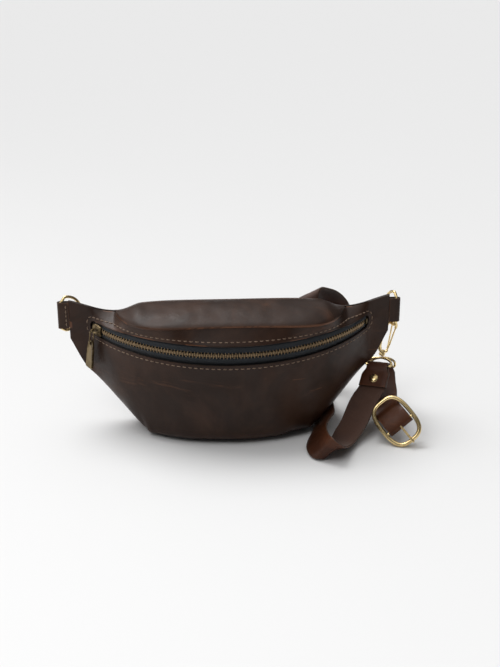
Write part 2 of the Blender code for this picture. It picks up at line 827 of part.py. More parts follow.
def make_short_strap():
    """From the fold on the second hook's eye, over a hump, through the buckle and round its bar."""
    bar, along, across, face = short_fold()
    radius = EYE_WIRE + 0.35 + STRAP_THICKNESS / 2
    start = round_bar(bar, along, -face, radius, SHORT_LAP, 8.0)
    long, short, out, middle = buckle_frame()
    turn = BAR_WIRE + 0.35 + STRAP_THICKNESS / 2

    def near(a, b, n):
        return BUCKLE_CENTRE + long * a + short * b + out * n

    route = [bar + along * 18 + face * LAYER]
    route += [Vector(p) for p, _ in SHORT_ROUTE]
    route += [near(-23.5, 0.6, -7.4), near(-17.0, 0.2, -4.3), near(-10.5, 0.0, -0.9), near(-4.0, 0.0, 2.7)]
    turns = [across] + [Vector(w) for _, w in SHORT_ROUTE] + [short] * 4
    end = [middle + out * turn]
    for k in range(1, 9):
        a = math.pi * k / 8
        end.append(middle + out * (turn * math.cos(a)) + long * (turn * math.sin(a)))
    end += [near(-2.0, 0.0, -3.0), near(-7.0, 0.0, -3.2), near(-12.0, 0.0, -4.6), near(-15.0, 0.0, -6.9)]
    centres = start + smooth_path(route, 4) + end
    widths = [across] * len(start) + smooth_path(turns, 4) + [short] * len(end)

    def width_at(length):
        wider = blend(abs(length - SHORT_LAP - 3.0), 6.0, 16.0)
        return STRAP_END_WIDTH + (SHORT_STRAP_WIDTH - STRAP_END_WIDTH) * wider

    strap = ribbon("strap_short", centres, widths, width_at, STRAP_THICKNESS, strap_leather())
    cut(strap, rivet_hole("short_rivet_hole", bar + along * SHORT_RIVET, face))
    corners = [(-6.5, -1.7), (7.0, -1.7), (7.0, 1.7), (-6.5, 1.7)]
    slot = [[middle + long * a + short * b + out * n for a, b in corners] for n in (-8.0, 8.0)]
    cut(strap, loft("prong_slot", slot, strap_leather()))
    set_origin(strap, bar)
    return strap


def rivet_hole(name, middle, face):
    return wire(name, [middle - face * 7, middle + face * 7], RIVET_HOLE, strap_leather(), sides=12)


def make_rivet(name, middle, face, across):
    """A domed cap, a shank through both layers and a flat back."""
    other = face.cross(across)
    stack = LAYER + STRAP_THICKNESS / 2 + GAP
    profile = ((-stack - 1.3, 3.0), (-stack - 0.9, 3.8), (-stack, 3.9), (-stack, 1.35), (stack, 1.35))
    profile += ((stack, RIVET_RADIUS), (stack + 0.7, RIVET_RADIUS - 0.2), (stack + 1.5, RIVET_RADIUS - 1.5))
    profile += ((stack + 1.9, 1.2),)
    rings = []
    for height, radius in profile:
        turns = (2 * math.pi * k / 16 for k in range(16))
        centre = middle + face * height
        rings.append([centre + (across * math.cos(a) + other * math.sin(a)) * radius for a in turns])
    return loft(name, rings, polished_brass(), 50.0)


def make_buckle_frame():
    """The oval frame and the bar across its middle."""
    long, short, _, middle = buckle_frame()
    loop = []
    for k in range(40):
        a = 2 * math.pi * k / 40
        c = math.copysign(abs(math.cos(a)) ** 0.8, math.cos(a))
        s = math.copysign(abs(math.sin(a)) ** 0.8, math.sin(a))
        loop.append(BUCKLE_CENTRE + long * (FRAME_HALF_LONG * c) + short * (FRAME_HALF_SHORT * s))
    frame = wire("buckle_frame", loop, FRAME_WIRE, polished_brass(), closed=True)
    end = short * (FRAME_HALF_SHORT - 0.6)
    join_into(frame, wire("buckle_bar", [middle - end, middle + end], BAR_WIRE, polished_brass()))
    set_origin(frame, middle)
    return frame


def make_buckle_prong():
    """A round pin: a loop on the bar, and a shank that rests on the far end of the frame."""
    long, _, out, middle = buckle_frame()
    radius = BAR_WIRE + GAP + PRONG_WIRE
    path = []
    for k in range(11):
        a = math.radians(-30 - 24 * k)
        path.append(middle + long * (radius * math.cos(a)) + out * (radius * math.sin(a)))
    rest = FRAME_WIRE + PRONG_WIRE + GAP
    path += [middle + long * 6 + out * (radius + 0.1), middle + long * 14 + out * (rest - 0.1)]
    path += [BUCKLE_CENTRE + long * 23 + out * rest, BUCKLE_CENTRE + long * 26.5 + out * (rest - 0.2)]
    prong = wire("buckle_prong", path, PRONG_WIRE, polished_brass())
    set_origin(prong, middle)
    return prong


def main():
    make_front_panel()
    make_back_panel()
    make_top_panel()
    make_lining("lining_back", 60.0, lambda x: back_y(x) - LEATHER - 3.0)
    make_lining("lining_front", 60.0, lambda x: front_y(x) + 9.0)
    make_zip_tape("zip_tape_upper", 1)
    make_zip_tape("zip_tape_lower", -1)
    make_zip_teeth("zip_teeth_upper", 1)
    make_zip_teeth("zip_teeth_lower", -1)
    make_zip_stop()
    make_slider()
    make_pull_link()
    make_pull_bar()
    for side, word in ((-1, "left"), (1, "right")):
        make_ring("d_ring_" + word, side)
        make_ring_tab("ring_tab_" + word, side)
    for word, place in (("long", LONG_HOOK), ("short", SHORT_HOOK)):
        make_hook("hook_" + word, place)
        make_gate("gate_" + word, place)
        make_eye("eye_" + word, place)
    make_long_strap()
    bar, along, across, face = long_fold()
    make_rivet("rivet_long", bar + along * LONG_RIVET, face, across)
    make_short_strap()
    bar, along, across, face = short_fold()
    make_rivet("rivet_short", bar + along * SHORT_RIVET, face, across)
    make_buckle_frame()
    make_buckle_prong()


clear_scene()
PARTS = new_collection("waist_pack")
CUTTERS = new_collection("cutters")
LONG_HOOK = HookPlace(*LONG_HOOK_PLACE)
SHORT_HOOK = HookPlace(*SHORT_HOOK_PLACE)
main()
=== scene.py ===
"""The visual model of a leather waist pack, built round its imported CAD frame.

The frame's axes: +X to the viewer's right, +Y away from the viewer, +Z up, with the origin at the middle
of the base. Shapes are worked out in millimetres and made in metres.
"""

import json
import math

import bmesh
import bpy
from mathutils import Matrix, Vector, noise


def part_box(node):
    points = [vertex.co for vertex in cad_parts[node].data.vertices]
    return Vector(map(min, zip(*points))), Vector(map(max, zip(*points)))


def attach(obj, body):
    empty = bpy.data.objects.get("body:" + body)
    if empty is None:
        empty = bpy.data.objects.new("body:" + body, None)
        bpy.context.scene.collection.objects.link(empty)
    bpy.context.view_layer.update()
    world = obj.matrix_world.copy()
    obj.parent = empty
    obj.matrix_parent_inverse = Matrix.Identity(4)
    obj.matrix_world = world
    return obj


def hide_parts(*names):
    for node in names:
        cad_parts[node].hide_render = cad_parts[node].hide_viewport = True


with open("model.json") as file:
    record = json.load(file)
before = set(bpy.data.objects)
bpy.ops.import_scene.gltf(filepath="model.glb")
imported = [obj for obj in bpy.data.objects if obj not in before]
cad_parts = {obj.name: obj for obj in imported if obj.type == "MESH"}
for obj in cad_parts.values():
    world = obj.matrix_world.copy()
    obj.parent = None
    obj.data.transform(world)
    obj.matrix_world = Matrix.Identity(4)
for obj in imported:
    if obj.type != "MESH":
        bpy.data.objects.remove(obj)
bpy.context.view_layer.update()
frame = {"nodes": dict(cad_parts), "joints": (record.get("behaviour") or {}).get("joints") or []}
JOINTS = {j["name"]: j for j in frame["joints"]}

MM = 0.001


def joint_place(name):
    return Vector(JOINTS[name]["pos_m"]) / MM


def joint_axis(name):
    return Vector(JOINTS[name]["axis"]).normalized()


def node_box(name):
    low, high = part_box(name)
    return low / MM, high / MM


# Bag body
HALF_LENGTH = 175.0
LEFT_SLOPE = (86.0, 0.918)
RIGHT_SLOPE = (77.0, 0.834)
BACK_CENTRE_Y = 29.0
BACK_SWEEP = 11.0
TOP_HEIGHT = 130.0
CREASE_HEIGHT = 122.0
CREASE_Y = -30.0
VALLEY_X = 118.0
VALLEY_HEIGHT = 119.0
LEATHER = 1.8
WING_DEPTH = 4.4
GAP = 0.3
TAB_TAIL = 8.0
PANEL_HALF = node_box("front_panel")[1].x
LEFT_DART_X = 87.0
RIGHT_DART_X = 80.0

# Zip: its teeth lie on a circle about the zip joint's axis
ZIP_CENTRE = joint_place("zip_travel")
ZIP_AXIS = joint_axis("zip_travel")
ZIP_RADIUS = 175.0
ZIP_TILT = math.radians(6.0)
SLOT_END_X = 143.0
SLOT_HALF_MID = 10.0
SLOT_HALF_END = 6.8
SLIDER_ANGLE = math.radians(-50.2)
TEETH_FROM = math.radians(-47.9)
TEETH_TO = math.radians(51.0)
STOP_ANGLE = math.radians(52.9)
TOOTH_PITCH = 3.35
BRIDGE_RISE = 5.6
LINK_HALF = 2.3
LINK_LEG = 10.5

# Hardware
RING_WIRE = 1.5
RING_BAR_HALF = 16.0
RING_DEPTH = 23.0
HOOK_WIRE = 1.6
GATE_WIRE = 0.8
EYE_WIRE = 1.25
EYE_HALF = 13.6

# Straps
STRAP_WIDTH = 29.0
SHORT_STRAP_WIDTH = 27.4
STRAP_END_WIDTH = 22.0
STRAP_THICKNESS = 2.4
LAYER = 1.4
RIVET_RADIUS = 4.8
LONG_LAP = 26.0
LONG_RIVET = 17.0
SHORT_LAP = 22.0
SHORT_RIVET = 13.0
FOLD_RADIUS = EYE_WIRE + 0.35 + STRAP_THICKNESS / 2
# Each strap's route on from its first fold: points on its middle line, with the direction across it
LONG_LEAVES = Vector((144.2, 14.5, 36.6))
LONG_ROUTE = (
    ((133.8, -4.0, 26.0), (0.845, -0.535, -0.02)),
    ((123.6, -24.0, 15.8), (0.84, -0.53, 0.10)),
    ((115.0, -36.0, 9.0), (0.80, -0.58, 0.10)),
    ((107.0, -48.5, 4.6), (0.66, -0.74, 0.14)),
    ((100.6, -66.0, 7.0), (0.42, -0.82, 0.38)),
    ((93.4, -81.0, 11.0), (0.29, -0.60, 0.74)),
    ((85.6, -83.0, 13.2), (0.40, -0.18, 0.90)),
    ((81.2, -69.7, 12.2), (0.62, 0.09, 0.78)),
    ((80.7, -50.4, 10.8), (0.70, 0.23, 0.68)),
    ((85.5, -34.5, 10.4), (0.72, 0.24, 0.65)),
    ((91.5, -19.5, 10.6), (0.745, 0.17, 0.645)),
    ((93.8, -4.0, 10.8), (0.76, 0.05, 0.645)),
    ((94.2, 15.0, 10.8), (0.76, 0.0, 0.65)),
    ((94.2, 34.0, 10.8), (0.76, 0.0, 0.65)),
    ((94.0, 52.0, 9.4), (0.82, -0.15, 0.50)),
    ((95.0, 67.0, 6.4), (0.90, -0.30, 0.20)),
    ((99.0, 81.0, 9.0), (0.90, -0.42, 0.02)),
    ((107.0, 95.0, 24.0), (0.85, -0.52, 0.05)),
    ((121.0, 103.0, 54.0), (0.88, -0.45, 0.05)),
    ((123.0, 96.0, 86.0), (0.88, -0.42, 0.22)),
    ((109.0, 79.0, 111.0), (0.80, -0.40, 0.45)),
    ((90.0, 63.5, 122.5), (0.78, -0.38, 0.50)),
    ((84.0, 56.0, 124.5), (0.77, -0.38, 0.52)),
    ((80.0, 50.5, 120.0), (0.82, -0.30, 0.46)),
    ((79.0, 48.5, 106.0), (0.93, -0.15, 0.30)),
    ((77.0, 49.0, 84.0), (1.0, 0.0, 0.10)),
    ((73.0, 52.0, 54.0), (1.0, 0.0, 0.05)),
    ((66.0, 60.0, 24.0), (0.97, 0.2, 0.0)),
    ((50.0, 70.0, 5.5), (0.60, 0.80, 0.0)),
    ((28.0, 75.0, 1.6), (0.15, 1.0, 0.0)),
    ((-5.0, 76.0, 1.5), (0.0, 1.0, 0.0)),
    ((-45.0, 76.0, 1.5), (0.0, 1.0, 0.0)),
)
SHORT_LEAVES = Vector((162.2, 36.0, 31.0))
SHORT_ROUTE = (
    ((160.6, 22.0, 25.0), (0.96, -0.10, 0.20)),
    ((158.4, 8.0, 21.5), (0.92, -0.06, 0.34)),
    ((156.6, -5.0, 22.0), (0.88, 0.02, 0.44)),
    ((154.8, -16.0, 25.4), (0.83, 0.09, 0.53)),
)

# Buckle
BUCKLE_LONG = Vector((0.577, -0.533, -0.619)).normalized()
BUCKLE_SHORT = joint_axis("buckle_turn")
BUCKLE_MIDDLE = joint_place("buckle_turn")
FRAME_HALF_LONG = 24.0
FRAME_HALF_SHORT = 17.0
FRAME_WIRE = 2.2
BAR_OFFSET = 5.0
BAR_WIRE = 1.6
PRONG_WIRE = 1.1
BUCKLE_CENTRE = BUCKLE_MIDDLE - BUCKLE_LONG * BAR_OFFSET
BUCKLE_OUT = BUCKLE_LONG.cross(BUCKLE_SHORT)

# Thread
STITCH_PITCH = 5.7
STITCH_LENGTH = 4.0
STITCH_RADIUS = 0.55
STITCH_INSET = 3.3
TAB_STITCH_PITCH = 4.6
TAB_STITCH_LENGTH = 3.4

# How finely the leather is cut up
ABOVE_SLOT_ROWS = 14
BELOW_SLOT_ROWS = 54
SLOT_COLUMNS = 150
WING_COLUMNS = 12
PANEL_COLUMNS = 140
BACK_ROWS = 34
TOP_ROWS = 26
TAPE_COLUMNS = 160

# Camera and light: turns to the right and rises are in degrees, seen from in front of the bag
CAMERA_TARGET = Vector((0.018, 0.0, 0.103))
CAMERA_TURN = -3.5
CAMERA_RISE = 21.0
CAMERA_DISTANCE = 1.1
CAMERA_LENS = 59.37
FLOOR_HALF = 20.0
FLOOR_DROP = 0.0004
FLOOR_COLOUR = (0.80, 0.80, 0.80, 1.0)
SKY_FROM = Vector((-0.25, 0.22, 0.94))
SKY_LOW = 0.42
SKY_HIGH = 0.95
HORIZON = 0.10
SKY_POWER = 0.98
KEY_POWER = 1.85
KEY_SPREAD = 36.0
KEY_TURN = -142.0
KEY_RISE = 58.0
SUN_DISTANCE = 1.5
PANEL_DISTANCE = 1.3
# Each soft panel: its name, turn, rise, power in watts, width and height in metres
PANELS = (("front", -34.0, 50.0, 2.6, 0.55, 0.55), ("left", -100.0, 12.0, 2.4, 0.6, 0.5))

# Materials


class Nodes:
    """A material's node tree, with short calls to add to it."""

    def __init__(self, name):
        self.material = bpy.data.materials.new(name)
        self.material.use_nodes = True
        self.tree = self.material.node_tree
        self.shader = self.tree.nodes["Principled BSDF"]
        self.place = self.add("ShaderNodeTexCoord").outputs["Object"]
        self.bump = None

    def add(self, kind, **settings):
        node = self.tree.nodes.new(kind)
        for key, value in settings.items():
            setattr(node, key, value)
        return node

    def feed(self, socket, value):
        if isinstance(value, bpy.types.NodeSocket):
            self.tree.links.new(value, socket)
        else:
            socket.default_value = value

    def stretched(self, scale):
        """Places whose pattern is squeezed along each axis by this scale."""
        return self.texture(self.add("ShaderNodeMapping"), None, Scale=scale)["Vector"]

    def texture(self, node, place, **numbers):
        self.feed(node.inputs["Vector"], place or self.place)
        for socket, number in numbers.items():
            node.inputs[socket].default_value = number
        return node.outputs

    def noise(self, scale, detail=3.0, roughness=0.5, distortion=0.0, place=None):
        numbers = {"Scale": scale, "Detail": detail, "Roughness": roughness, "Distortion": distortion}
        return self.texture(self.add("ShaderNodeTexNoise"), place, **numbers)["Fac"]

    def voronoi(self, scale, feature="F1"):
        return self.texture(self.add("ShaderNodeTexVoronoi", feature=feature), None, Scale=scale)["Distance"]

    def wave(self, scale, direction, distortion=0.0):
        node = self.add("ShaderNodeTexWave", bands_direction=direction)
        return self.texture(node, None, Scale=scale, Distortion=distortion)["Fac"]

    def worn(self, low, high):
        """Where the surface turns outwards sharply: 0 under low, 1 over high."""
        return self.ramp(self.add("ShaderNodeNewGeometry").outputs["Pointiness"], low, high)

    def ramp(self, value, low, high, start=0.0, end=1.0):
        node = self.add("ShaderNodeMapRange", interpolation_type="SMOOTHSTEP")
        self.feed(node.inputs["Value"], value)
        for socket, number in (("From Min", low), ("From Max", high), ("To Min", start), ("To Max", end)):
            node.inputs[socket].default_value = number
        return node.outputs["Result"]

    def math(self, operation, a, b):
        node = self.add("ShaderNodeMath", operation=operation)
        self.feed(node.inputs[0], a)
        self.feed(node.inputs[1], b)
        return node.outputs[0]

    def mix(self, share, a, b):
        node = self.add("ShaderNodeMix", data_type="RGBA")
        self.feed(node.inputs["Factor"], share)
        for socket, colour in (("A", a), ("B", b)):
            found = [s for s in node.inputs if s.name == socket and s.type == "RGBA"][0]
            self.feed(found, colour if isinstance(colour, bpy.types.NodeSocket) else (*colour, 1.0))
        return [s for s in node.outputs if s.type == "RGBA"][0]

    def raise_by(self, height, distance, strength=1.0):
        """Adds a bump of this height in metres on top of the bumps so far."""
        node = self.add("ShaderNodeBump")
        node.inputs["Strength"].default_value = strength
        node.inputs["Distance"].default_value = distance
        self.feed(node.inputs["Height"], height)
        if self.bump:
            self.feed(node.inputs["Normal"], self.bump)
        self.bump = node.outputs["Normal"]

    def finish(self, colour, roughness, **constants):
        self.feed(self.shader.inputs["Base Color"], colour)
        self.feed(self.shader.inputs["Roughness"], roughness)
        for key, value in constants.items():
            self.shader.inputs[key.replace("_", " ")].default_value = value
        if self.bump:
            self.feed(self.shader.inputs["Normal"], self.bump)
        return self.material


def grain_leather(name, dark, mid, light, roughness):
    """Waxed pull-up leather: fine pebbles, soft clouds of colour, rubbed ridges and a few light scratches."""
    n = Nodes(name)
    clouds = n.noise(14.0, 4.0, 0.6, 0.6)
    streaks = n.noise(9.0, 5.0, 0.65, 1.2, n.stretched((1.0, 1.0, 3.5)))
    colour = n.mix(n.ramp(clouds, 0.38, 0.66), dark, mid)
    colour = n.mix(n.ramp(streaks, 0.56, 0.74, 0.0, 0.55), colour, light)
    colour = n.mix(n.worn(0.52, 0.60), colour, light)
    pores = n.voronoi(1150.0)
    colour = n.mix(n.ramp(pores, 0.0, 0.35, 0.35, 0.0), colour, tuple(c * 0.45 for c in dark))
    scratch_lines = n.noise(26.0, 1.0, 0.4, 0.4, n.stretched((1.0, 1.0, 14.0)))
    scratches = n.math("MULTIPLY", n.ramp(scratch_lines, 0.735, 0.76), n.ramp(clouds, 0.5, 0.6))
    colour = n.mix(n.math("MULTIPLY", scratches, 0.6), colour, light)
    rough = n.ramp(n.noise(60.0, 4.0), 0.3, 0.7, roughness - 0.06, roughness + 0.10)
    n.raise_by(n.voronoi(1150.0, "DISTANCE_TO_EDGE"), 0.00010, 0.45)
    n.raise_by(n.noise(2600.0, 2.0), 0.00008, 0.35)
    n.raise_by(n.noise(120.0, 3.0, 0.6, 0.8), 0.0006, 0.35)
    return n.finish(colour, rough, Specular_IOR_Level=0.20)


def raw_edge(name, dark, light):
    """The cut edge of leather: fibrous, dry and a little uneven."""
    n = Nodes(name)
    fibres = n.noise(700.0, 4.0, 0.7, 0.0, n.stretched((1.0, 1.0, 0.2)))
    colour = n.mix(n.ramp(fibres, 0.35, 0.7), dark, light)
    n.raise_by(fibres, 0.0002, 0.6)
    return n.finish(colour, n.ramp(fibres, 0.3, 0.7, 0.55, 0.8))


def flesh_leather(name, dark, light):
    """The brushed inner side of leather."""
    n = Nodes(name)
    nap = n.noise(900.0, 5.0, 0.75)
    clouds = n.noise(22.0, 3.0)
    colour = n.mix(n.ramp(clouds, 0.35, 0.65), dark, light)
    colour = n.mix(n.ramp(nap, 0.4, 0.7, 0.0, 0.4), colour, dark)
    n.raise_by(nap, 0.0003, 0.7)
    rough = n.ramp(nap, 0.3, 0.7, 0.62, 0.85)
    return n.finish(colour, rough, Sheen_Weight=0.25, Sheen_Roughness=0.5)


def woven(name, dark, light, threads):
    """Cloth with threads along X and Z."""
    n = Nodes(name)
    weave = n.math("MULTIPLY", n.wave(threads, "X"), n.wave(threads, "Z"))
    fuzz = n.noise(1500.0, 3.0)
    colour = n.mix(weave, dark, light)
    colour = n.mix(n.ramp(fuzz, 0.5, 0.8, 0.0, 0.3), colour, light)
    n.raise_by(weave, 0.00025, 0.7)
    n.raise_by(fuzz, 0.0001, 0.4)
    rough = n.ramp(fuzz, 0.3, 0.7, 0.75, 0.95)
    return n.finish(colour, rough, Sheen_Weight=0.2, Sheen_Roughness=0.5)


def brass(name, deep, bright, roughness, tarnish):
    """Brass with finger-dulled patches, fine brushing and brighter edges."""
    n = Nodes(name)
    patches = n.noise(160.0, 4.0, 0.65)
    colour = n.mix(n.ramp(patches, 0.35, 0.7, tarnish, 0.0), bright, deep)
    colour = n.mix(n.worn(0.53, 0.60), colour, bright)
    brushed = n.noise(900.0, 3.0, 0.6, 0.0, n.stretched((1.0, 1.0, 6.0)))
    rough = n.ramp(patches, 0.3, 0.7, roughness + 0.14, roughness)
    rough = n.math("ADD", rough, n.ramp(brushed, 0.3, 0.7, 0.0, 0.08))
    n.raise_by(brushed, 0.00003, 0.35)
    n.raise_by(n.noise(90.0, 2.0), 0.0002, 0.15)
    return n.finish(colour, rough, Metallic=1.0)


def thread(name, dark, light):
    """Waxed linen thread, twisted."""
    n = Nodes(name)
    twist = n.wave(900.0, "DIAGONAL", 1.0)
    colour = n.mix(n.ramp(twist, 0.2, 0.8), dark, light)
    n.raise_by(twist, 0.0002, 0.6)
    rough = n.ramp(n.noise(300.0), 0.3, 0.7, 0.5, 0.7)
    return n.finish(colour, rough, Sheen_Weight=0.15, Sheen_Roughness=0.4)


# Each finish: its colours, then its roughness, its thread count or its tarnish
BAG = grain_leather(
    "bag_leather", (0.0240, 0.0120, 0.0078), (0.0480, 0.0230, 0.0138), (0.125, 0.053, 0.027), 0.37
)
STRAP = grain_leather(
    "strap_leather", (0.0380, 0.0120, 0.0050), (0.0720, 0.0235, 0.0098), (0.125, 0.046, 0.020), 0.42
)
EDGE = raw_edge("cut_edge", (0.012, 0.007, 0.005), (0.050, 0.028, 0.018))
STRAP_EDGE = raw_edge("strap_cut_edge", (0.030, 0.014, 0.008), (0.105, 0.052, 0.030))
FLESH = flesh_leather("flesh_side", (0.044, 0.0150, 0.0068), (0.074, 0.0270, 0.0120))
TAPE = woven("zip_tape_cloth", (0.003, 0.005, 0.008), (0.010, 0.017, 0.024), 420.0)
CLOTH = woven("lining_cloth", (0.018, 0.018, 0.021), (0.045, 0.045, 0.05), 300.0)
AGED = brass("aged_brass", (0.050, 0.034, 0.018), (0.22, 0.165, 0.090), 0.30, 0.9)
TEETH = brass("teeth_brass", (0.060, 0.040, 0.023), (0.33, 0.235, 0.140), 0.30, 0.85)
SHINY = brass("polished_brass", (0.55, 0.38, 0.16), (0.93, 0.73, 0.38), 0.13, 0.5)
THREAD = thread("linen_thread", (0.100, 0.060, 0.036), (0.33, 0.22, 0.145))


# Mesh building


def piece(name, points, faces, finishes, body, nodes=(), angle=40.0, indices=None, outside=None):
    """A mesh object from points in millimetres that rides on a CAD body and stands for its nodes.

    The faces of a closed mesh are made to point outwards, and those of an open sheet towards outside.
    Edges sharper than angle stay sharp, and indices say which of the finishes each face has.
    """
    mesh = bpy.data.meshes.new(name)
    mesh.from_pydata([tuple(Vector(p) * MM) for p in points], [], faces)
    if indices:
        mesh.polygons.foreach_set("material_index", indices)
    edit = bmesh.new()
    edit.from_mesh(mesh)
    bmesh.ops.remove_doubles(edit, verts=edit.verts, dist=0.00001)
    if outside is None:
        bmesh.ops.recalc_face_normals(edit, faces=edit.faces)
    else:
        edit.normal_update()
        if sum(face.normal.dot(outside) * face.calc_area() for face in edit.faces) < 0:
            bmesh.ops.reverse_faces(edit, faces=edit.faces)
    edit.to_mesh(mesh)
    edit.free()
    mesh.shade_smooth()
    mesh.set_sharp_from_angle(angle=math.radians(angle))
    for finish in finishes:
        mesh.materials.append(finish)
    obj = bpy.data.objects.new(name, mesh)
    bpy.context.scene.collection.objects.link(obj)
    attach(obj, body)
    if nodes:
        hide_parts(*nodes)
    return obj


def grid_faces(rows, across, closed=False):
    faces = []
    for i in range(rows - 1):
        for k in range(across if closed else across - 1):
            a = i * across + k
            b = i * across + (k + 1) % across
            faces.append((a, b, b + across, a + across))
    return faces


def caps(rows, across):
    return [tuple(reversed(range(across))), tuple((rows - 1) * across + k for k in range(across))]


class Path:
    """A line of points, with places on it found by their distance from its start."""

    def __init__(self, points):
        self.points = points
        self.lengths = [0.0]
        for a, b in zip(points, points[1:]):
            self.lengths.append(self.lengths[-1] + (b - a).length)

    def share(self, distance):
        """The span that a distance falls in, and how far along that span it is, from 0 to 1."""
        i = 0
        while i < len(self.points) - 2 and self.lengths[i + 1] < distance:
            i += 1
        span = max(self.lengths[i + 1] - self.lengths[i], 1e-9)
        return i, min(1.0, max(0.0, (distance - self.lengths[i]) / span))


def resample(points, count):
    """Points at equal distances along a path."""
    path = Path(points)
    found = []
    for k in range(count):
        i, t = path.share(path.lengths[-1] * k / (count - 1))
        found.append(points[i].lerp(points[i + 1], t))
    return found


def between(a, b, c, d, t):
    """The point at t, from 0 to 1, on a Catmull-Rom curve from b to c."""
    cubic = (2 * a - 5 * b + 4 * c - d) * t**2 + (3 * b - a - 3 * c + d) * t**3
    return 0.5 * (2 * b + (c - a) * t + cubic)


def smooth_path(points, per_span):
    """Points of a smooth curve through the given points."""
    path = [Vector(p) for p in points]
    padded = [path[0] * 2 - path[1], *path, path[-1] * 2 - path[-2]]
    found = []
    for i in range(1, len(padded) - 2):
        a, b, c, d = padded[i - 1 : i + 3]
        found += [between(a, b, c, d, step / per_span) for step in range(per_span)]
    found.append(path[-1])
    return found


def eased(values, passes):
    """Evens out a list of vectors; its ends stay where they are."""
    found = [v.copy() for v in values]
    for _ in range(passes):
        before = [v.copy() for v in found]
        for i in range(1, len(found) - 1):
            found[i] = (before[i - 1] + before[i] * 2 + before[i + 1]) / 4
    return found


def tube(points, radius, closed=False, sides=14):
    """Points and faces of a round wire; radius is a number or a function of the share of the length."""
    path = [Vector(p) for p in points]
    count = len(path)
    rings = []
    side = None
    for i, point in enumerate(path):
        before = path[(i - 1) % count] if closed or i else point
        after = path[(i + 1) % count] if closed or i < count - 1 else point
        along = (after - before).normalized()
        if side is None:
            side = along.orthogonal().normalized()
        side = (side - along * side.dot(along)).normalized()
        up = along.cross(side)
        r = radius(i / (count - 1)) if callable(radius) else radius
        turns = (2 * math.pi * k / sides for k in range(sides))
        rings.append([point + r * (math.cos(a) * side + math.sin(a) * up) for a in turns])
    points_all = [p for ring in rings for p in ring]
    faces = grid_faces(count, sides, True)
    if not closed:
        return points_all, faces + caps(count, sides)
    step = path[0] - path[-1]
    best = min(range(sides), key=lambda k: (rings[0][k] - rings[-1][0] - step).length)
    last = (count - 1) * sides
    for k in range(sides):
        c = (k + 1 + best) % sides
        d = (k + best) % sides
        faces.append((last + k, last + (k + 1) % sides, c, d))
    return points_all, faces


def join(*parts):
    """Several (points, faces) pairs as one."""
    points = []
    faces = []
    for more, theirs in parts:
        start = len(points)
        points += list(more)
        faces += [tuple(v + start for v in face) for face in theirs]
    return points, faces


def lathe(profile, at, sides=24):
    """A turned shape; profile holds (height, radius) pairs and at gives a point for (right, height, face)."""
    points = []
    for height, radius in profile:
        turns = (2 * math.pi * k / sides for k in range(sides))
        points += [at(radius * math.cos(a), height, radius * math.sin(a)) for a in turns]
    return points, grid_faces(len(profile), sides, True) + caps(len(profile), sides)


def rounded_tube_ends(points, radius):
    """A path whose two ends are drawn in, with the radius for each of its points."""
    path = [Vector(p) for p in points]
    first = (path[0] - path[1]).normalized()
    last = (path[-1] - path[-2]).normalized()
    steps = [(0.55, 0.84), (0.85, 0.53), (0.98, 0.18)]
    start = [(path[0] + first * radius * s, radius * r) for s, r in reversed(steps)]
    end = [(path[-1] + last * radius * s, radius * r) for s, r in steps]
    full = [*start, *((p, radius) for p in path), *end]
    return [p for p, _ in full], [r for _, r in full]


def rod(points, radius, sides=14):
    """A round wire with domed ends."""
    path, radii = rounded_tube_ends(points, radius)
    return tube(path, lambda share: radii[round(share * (len(radii) - 1))], False, sides)


def stitches(name, path, normals, body, pitch=STITCH_PITCH, length=STITCH_LENGTH):
    """A row of thread stitches along a path, each dipping into the leather at its ends."""
    whole = Path(path)
    made = []
    count = int(whole.lengths[-1] / pitch)
    spare = whole.lengths[-1] - count * pitch
    shares = (-0.5, -0.42, -0.25, 0.0, 0.25, 0.42, 0.5)
    for k in range(count):
        middle = (k + 0.5) * pitch + spare / 2
        line = []
        radii = []
        for s in shares:
            i, t = whole.share(middle + s * length)
            point = path[i].lerp(path[i + 1], t)
            normal = normals[i].lerp(normals[i + 1], t).normalized()
            lift = 0.25 - 1.1 * (2 * abs(s)) ** 3
            line.append(point + normal * lift * STITCH_RADIUS * 1.6)
            radii.append(STITCH_RADIUS * (1.0 - 0.45 * (2 * abs(s)) ** 4))
        made.append(tube(line, lambda share, r=radii: r[round(share * (len(shares) - 1))], False, 8))
    points, faces = join(*made)
    return piece(name, points, faces, [THREAD], body, angle=70.0)


# The shape of the bag, as functions of the distance along its length


def back_y(x):
    return BACK_CENTRE_Y + BACK_SWEEP * (x / HALF_LENGTH) ** 2


def zip_point(angle, out=0.0, up=0.0):
    """A point of the zip's circle, moved outwards and along the circle's axis."""
    forward = -math.cos(angle)
    outwards = Vector((math.sin(angle), forward * math.cos(ZIP_TILT), forward * math.sin(ZIP_TILT)))
    return ZIP_CENTRE + outwards * (ZIP_RADIUS + out) + ZIP_AXIS * up


def zip_angle(x):
    return math.asin(max(-0.999, min(0.999, x / ZIP_RADIUS)))


def soft_min(a, b, width):
    return (a + b - math.sqrt((a - b) ** 2 + width**2)) / 2


def front_y(x):
    return soft_min(zip_point(zip_angle(x), 1.2).y, back_y(x) - WING_DEPTH, 3.0)


def zip_z(x):
    return zip_point(zip_angle(x)).z


def blend(x, start, end):
    t = max(0.0, min(1.0, (x - start) / (end - start)))
    return t * t * (3 - 2 * t)


def top_z(x):
    a = abs(x)
    middle = TOP_HEIGHT - 4.0 * (a / 100.0) ** 4
    dip = VALLEY_HEIGHT + 11.0 * blend(a, VALLEY_X + 2, HALF_LENGTH)
    return middle + (dip - middle) * blend(a, 90.0, VALLEY_X)


def low_z(x):
    """The lower edge: a flat base, then a slope to the wing tip. A strap lies under its right end."""
    a = abs(x)
    start, rise = LEFT_SLOPE if x < 0 else RIGHT_SLOPE
    low = -1.5 + 1.5 * blend(a, 70, 84) + rise * max(0.0, a - start) + 22.0 * blend(a, 145.0, 172.0)
    return max(low, lifted(x))


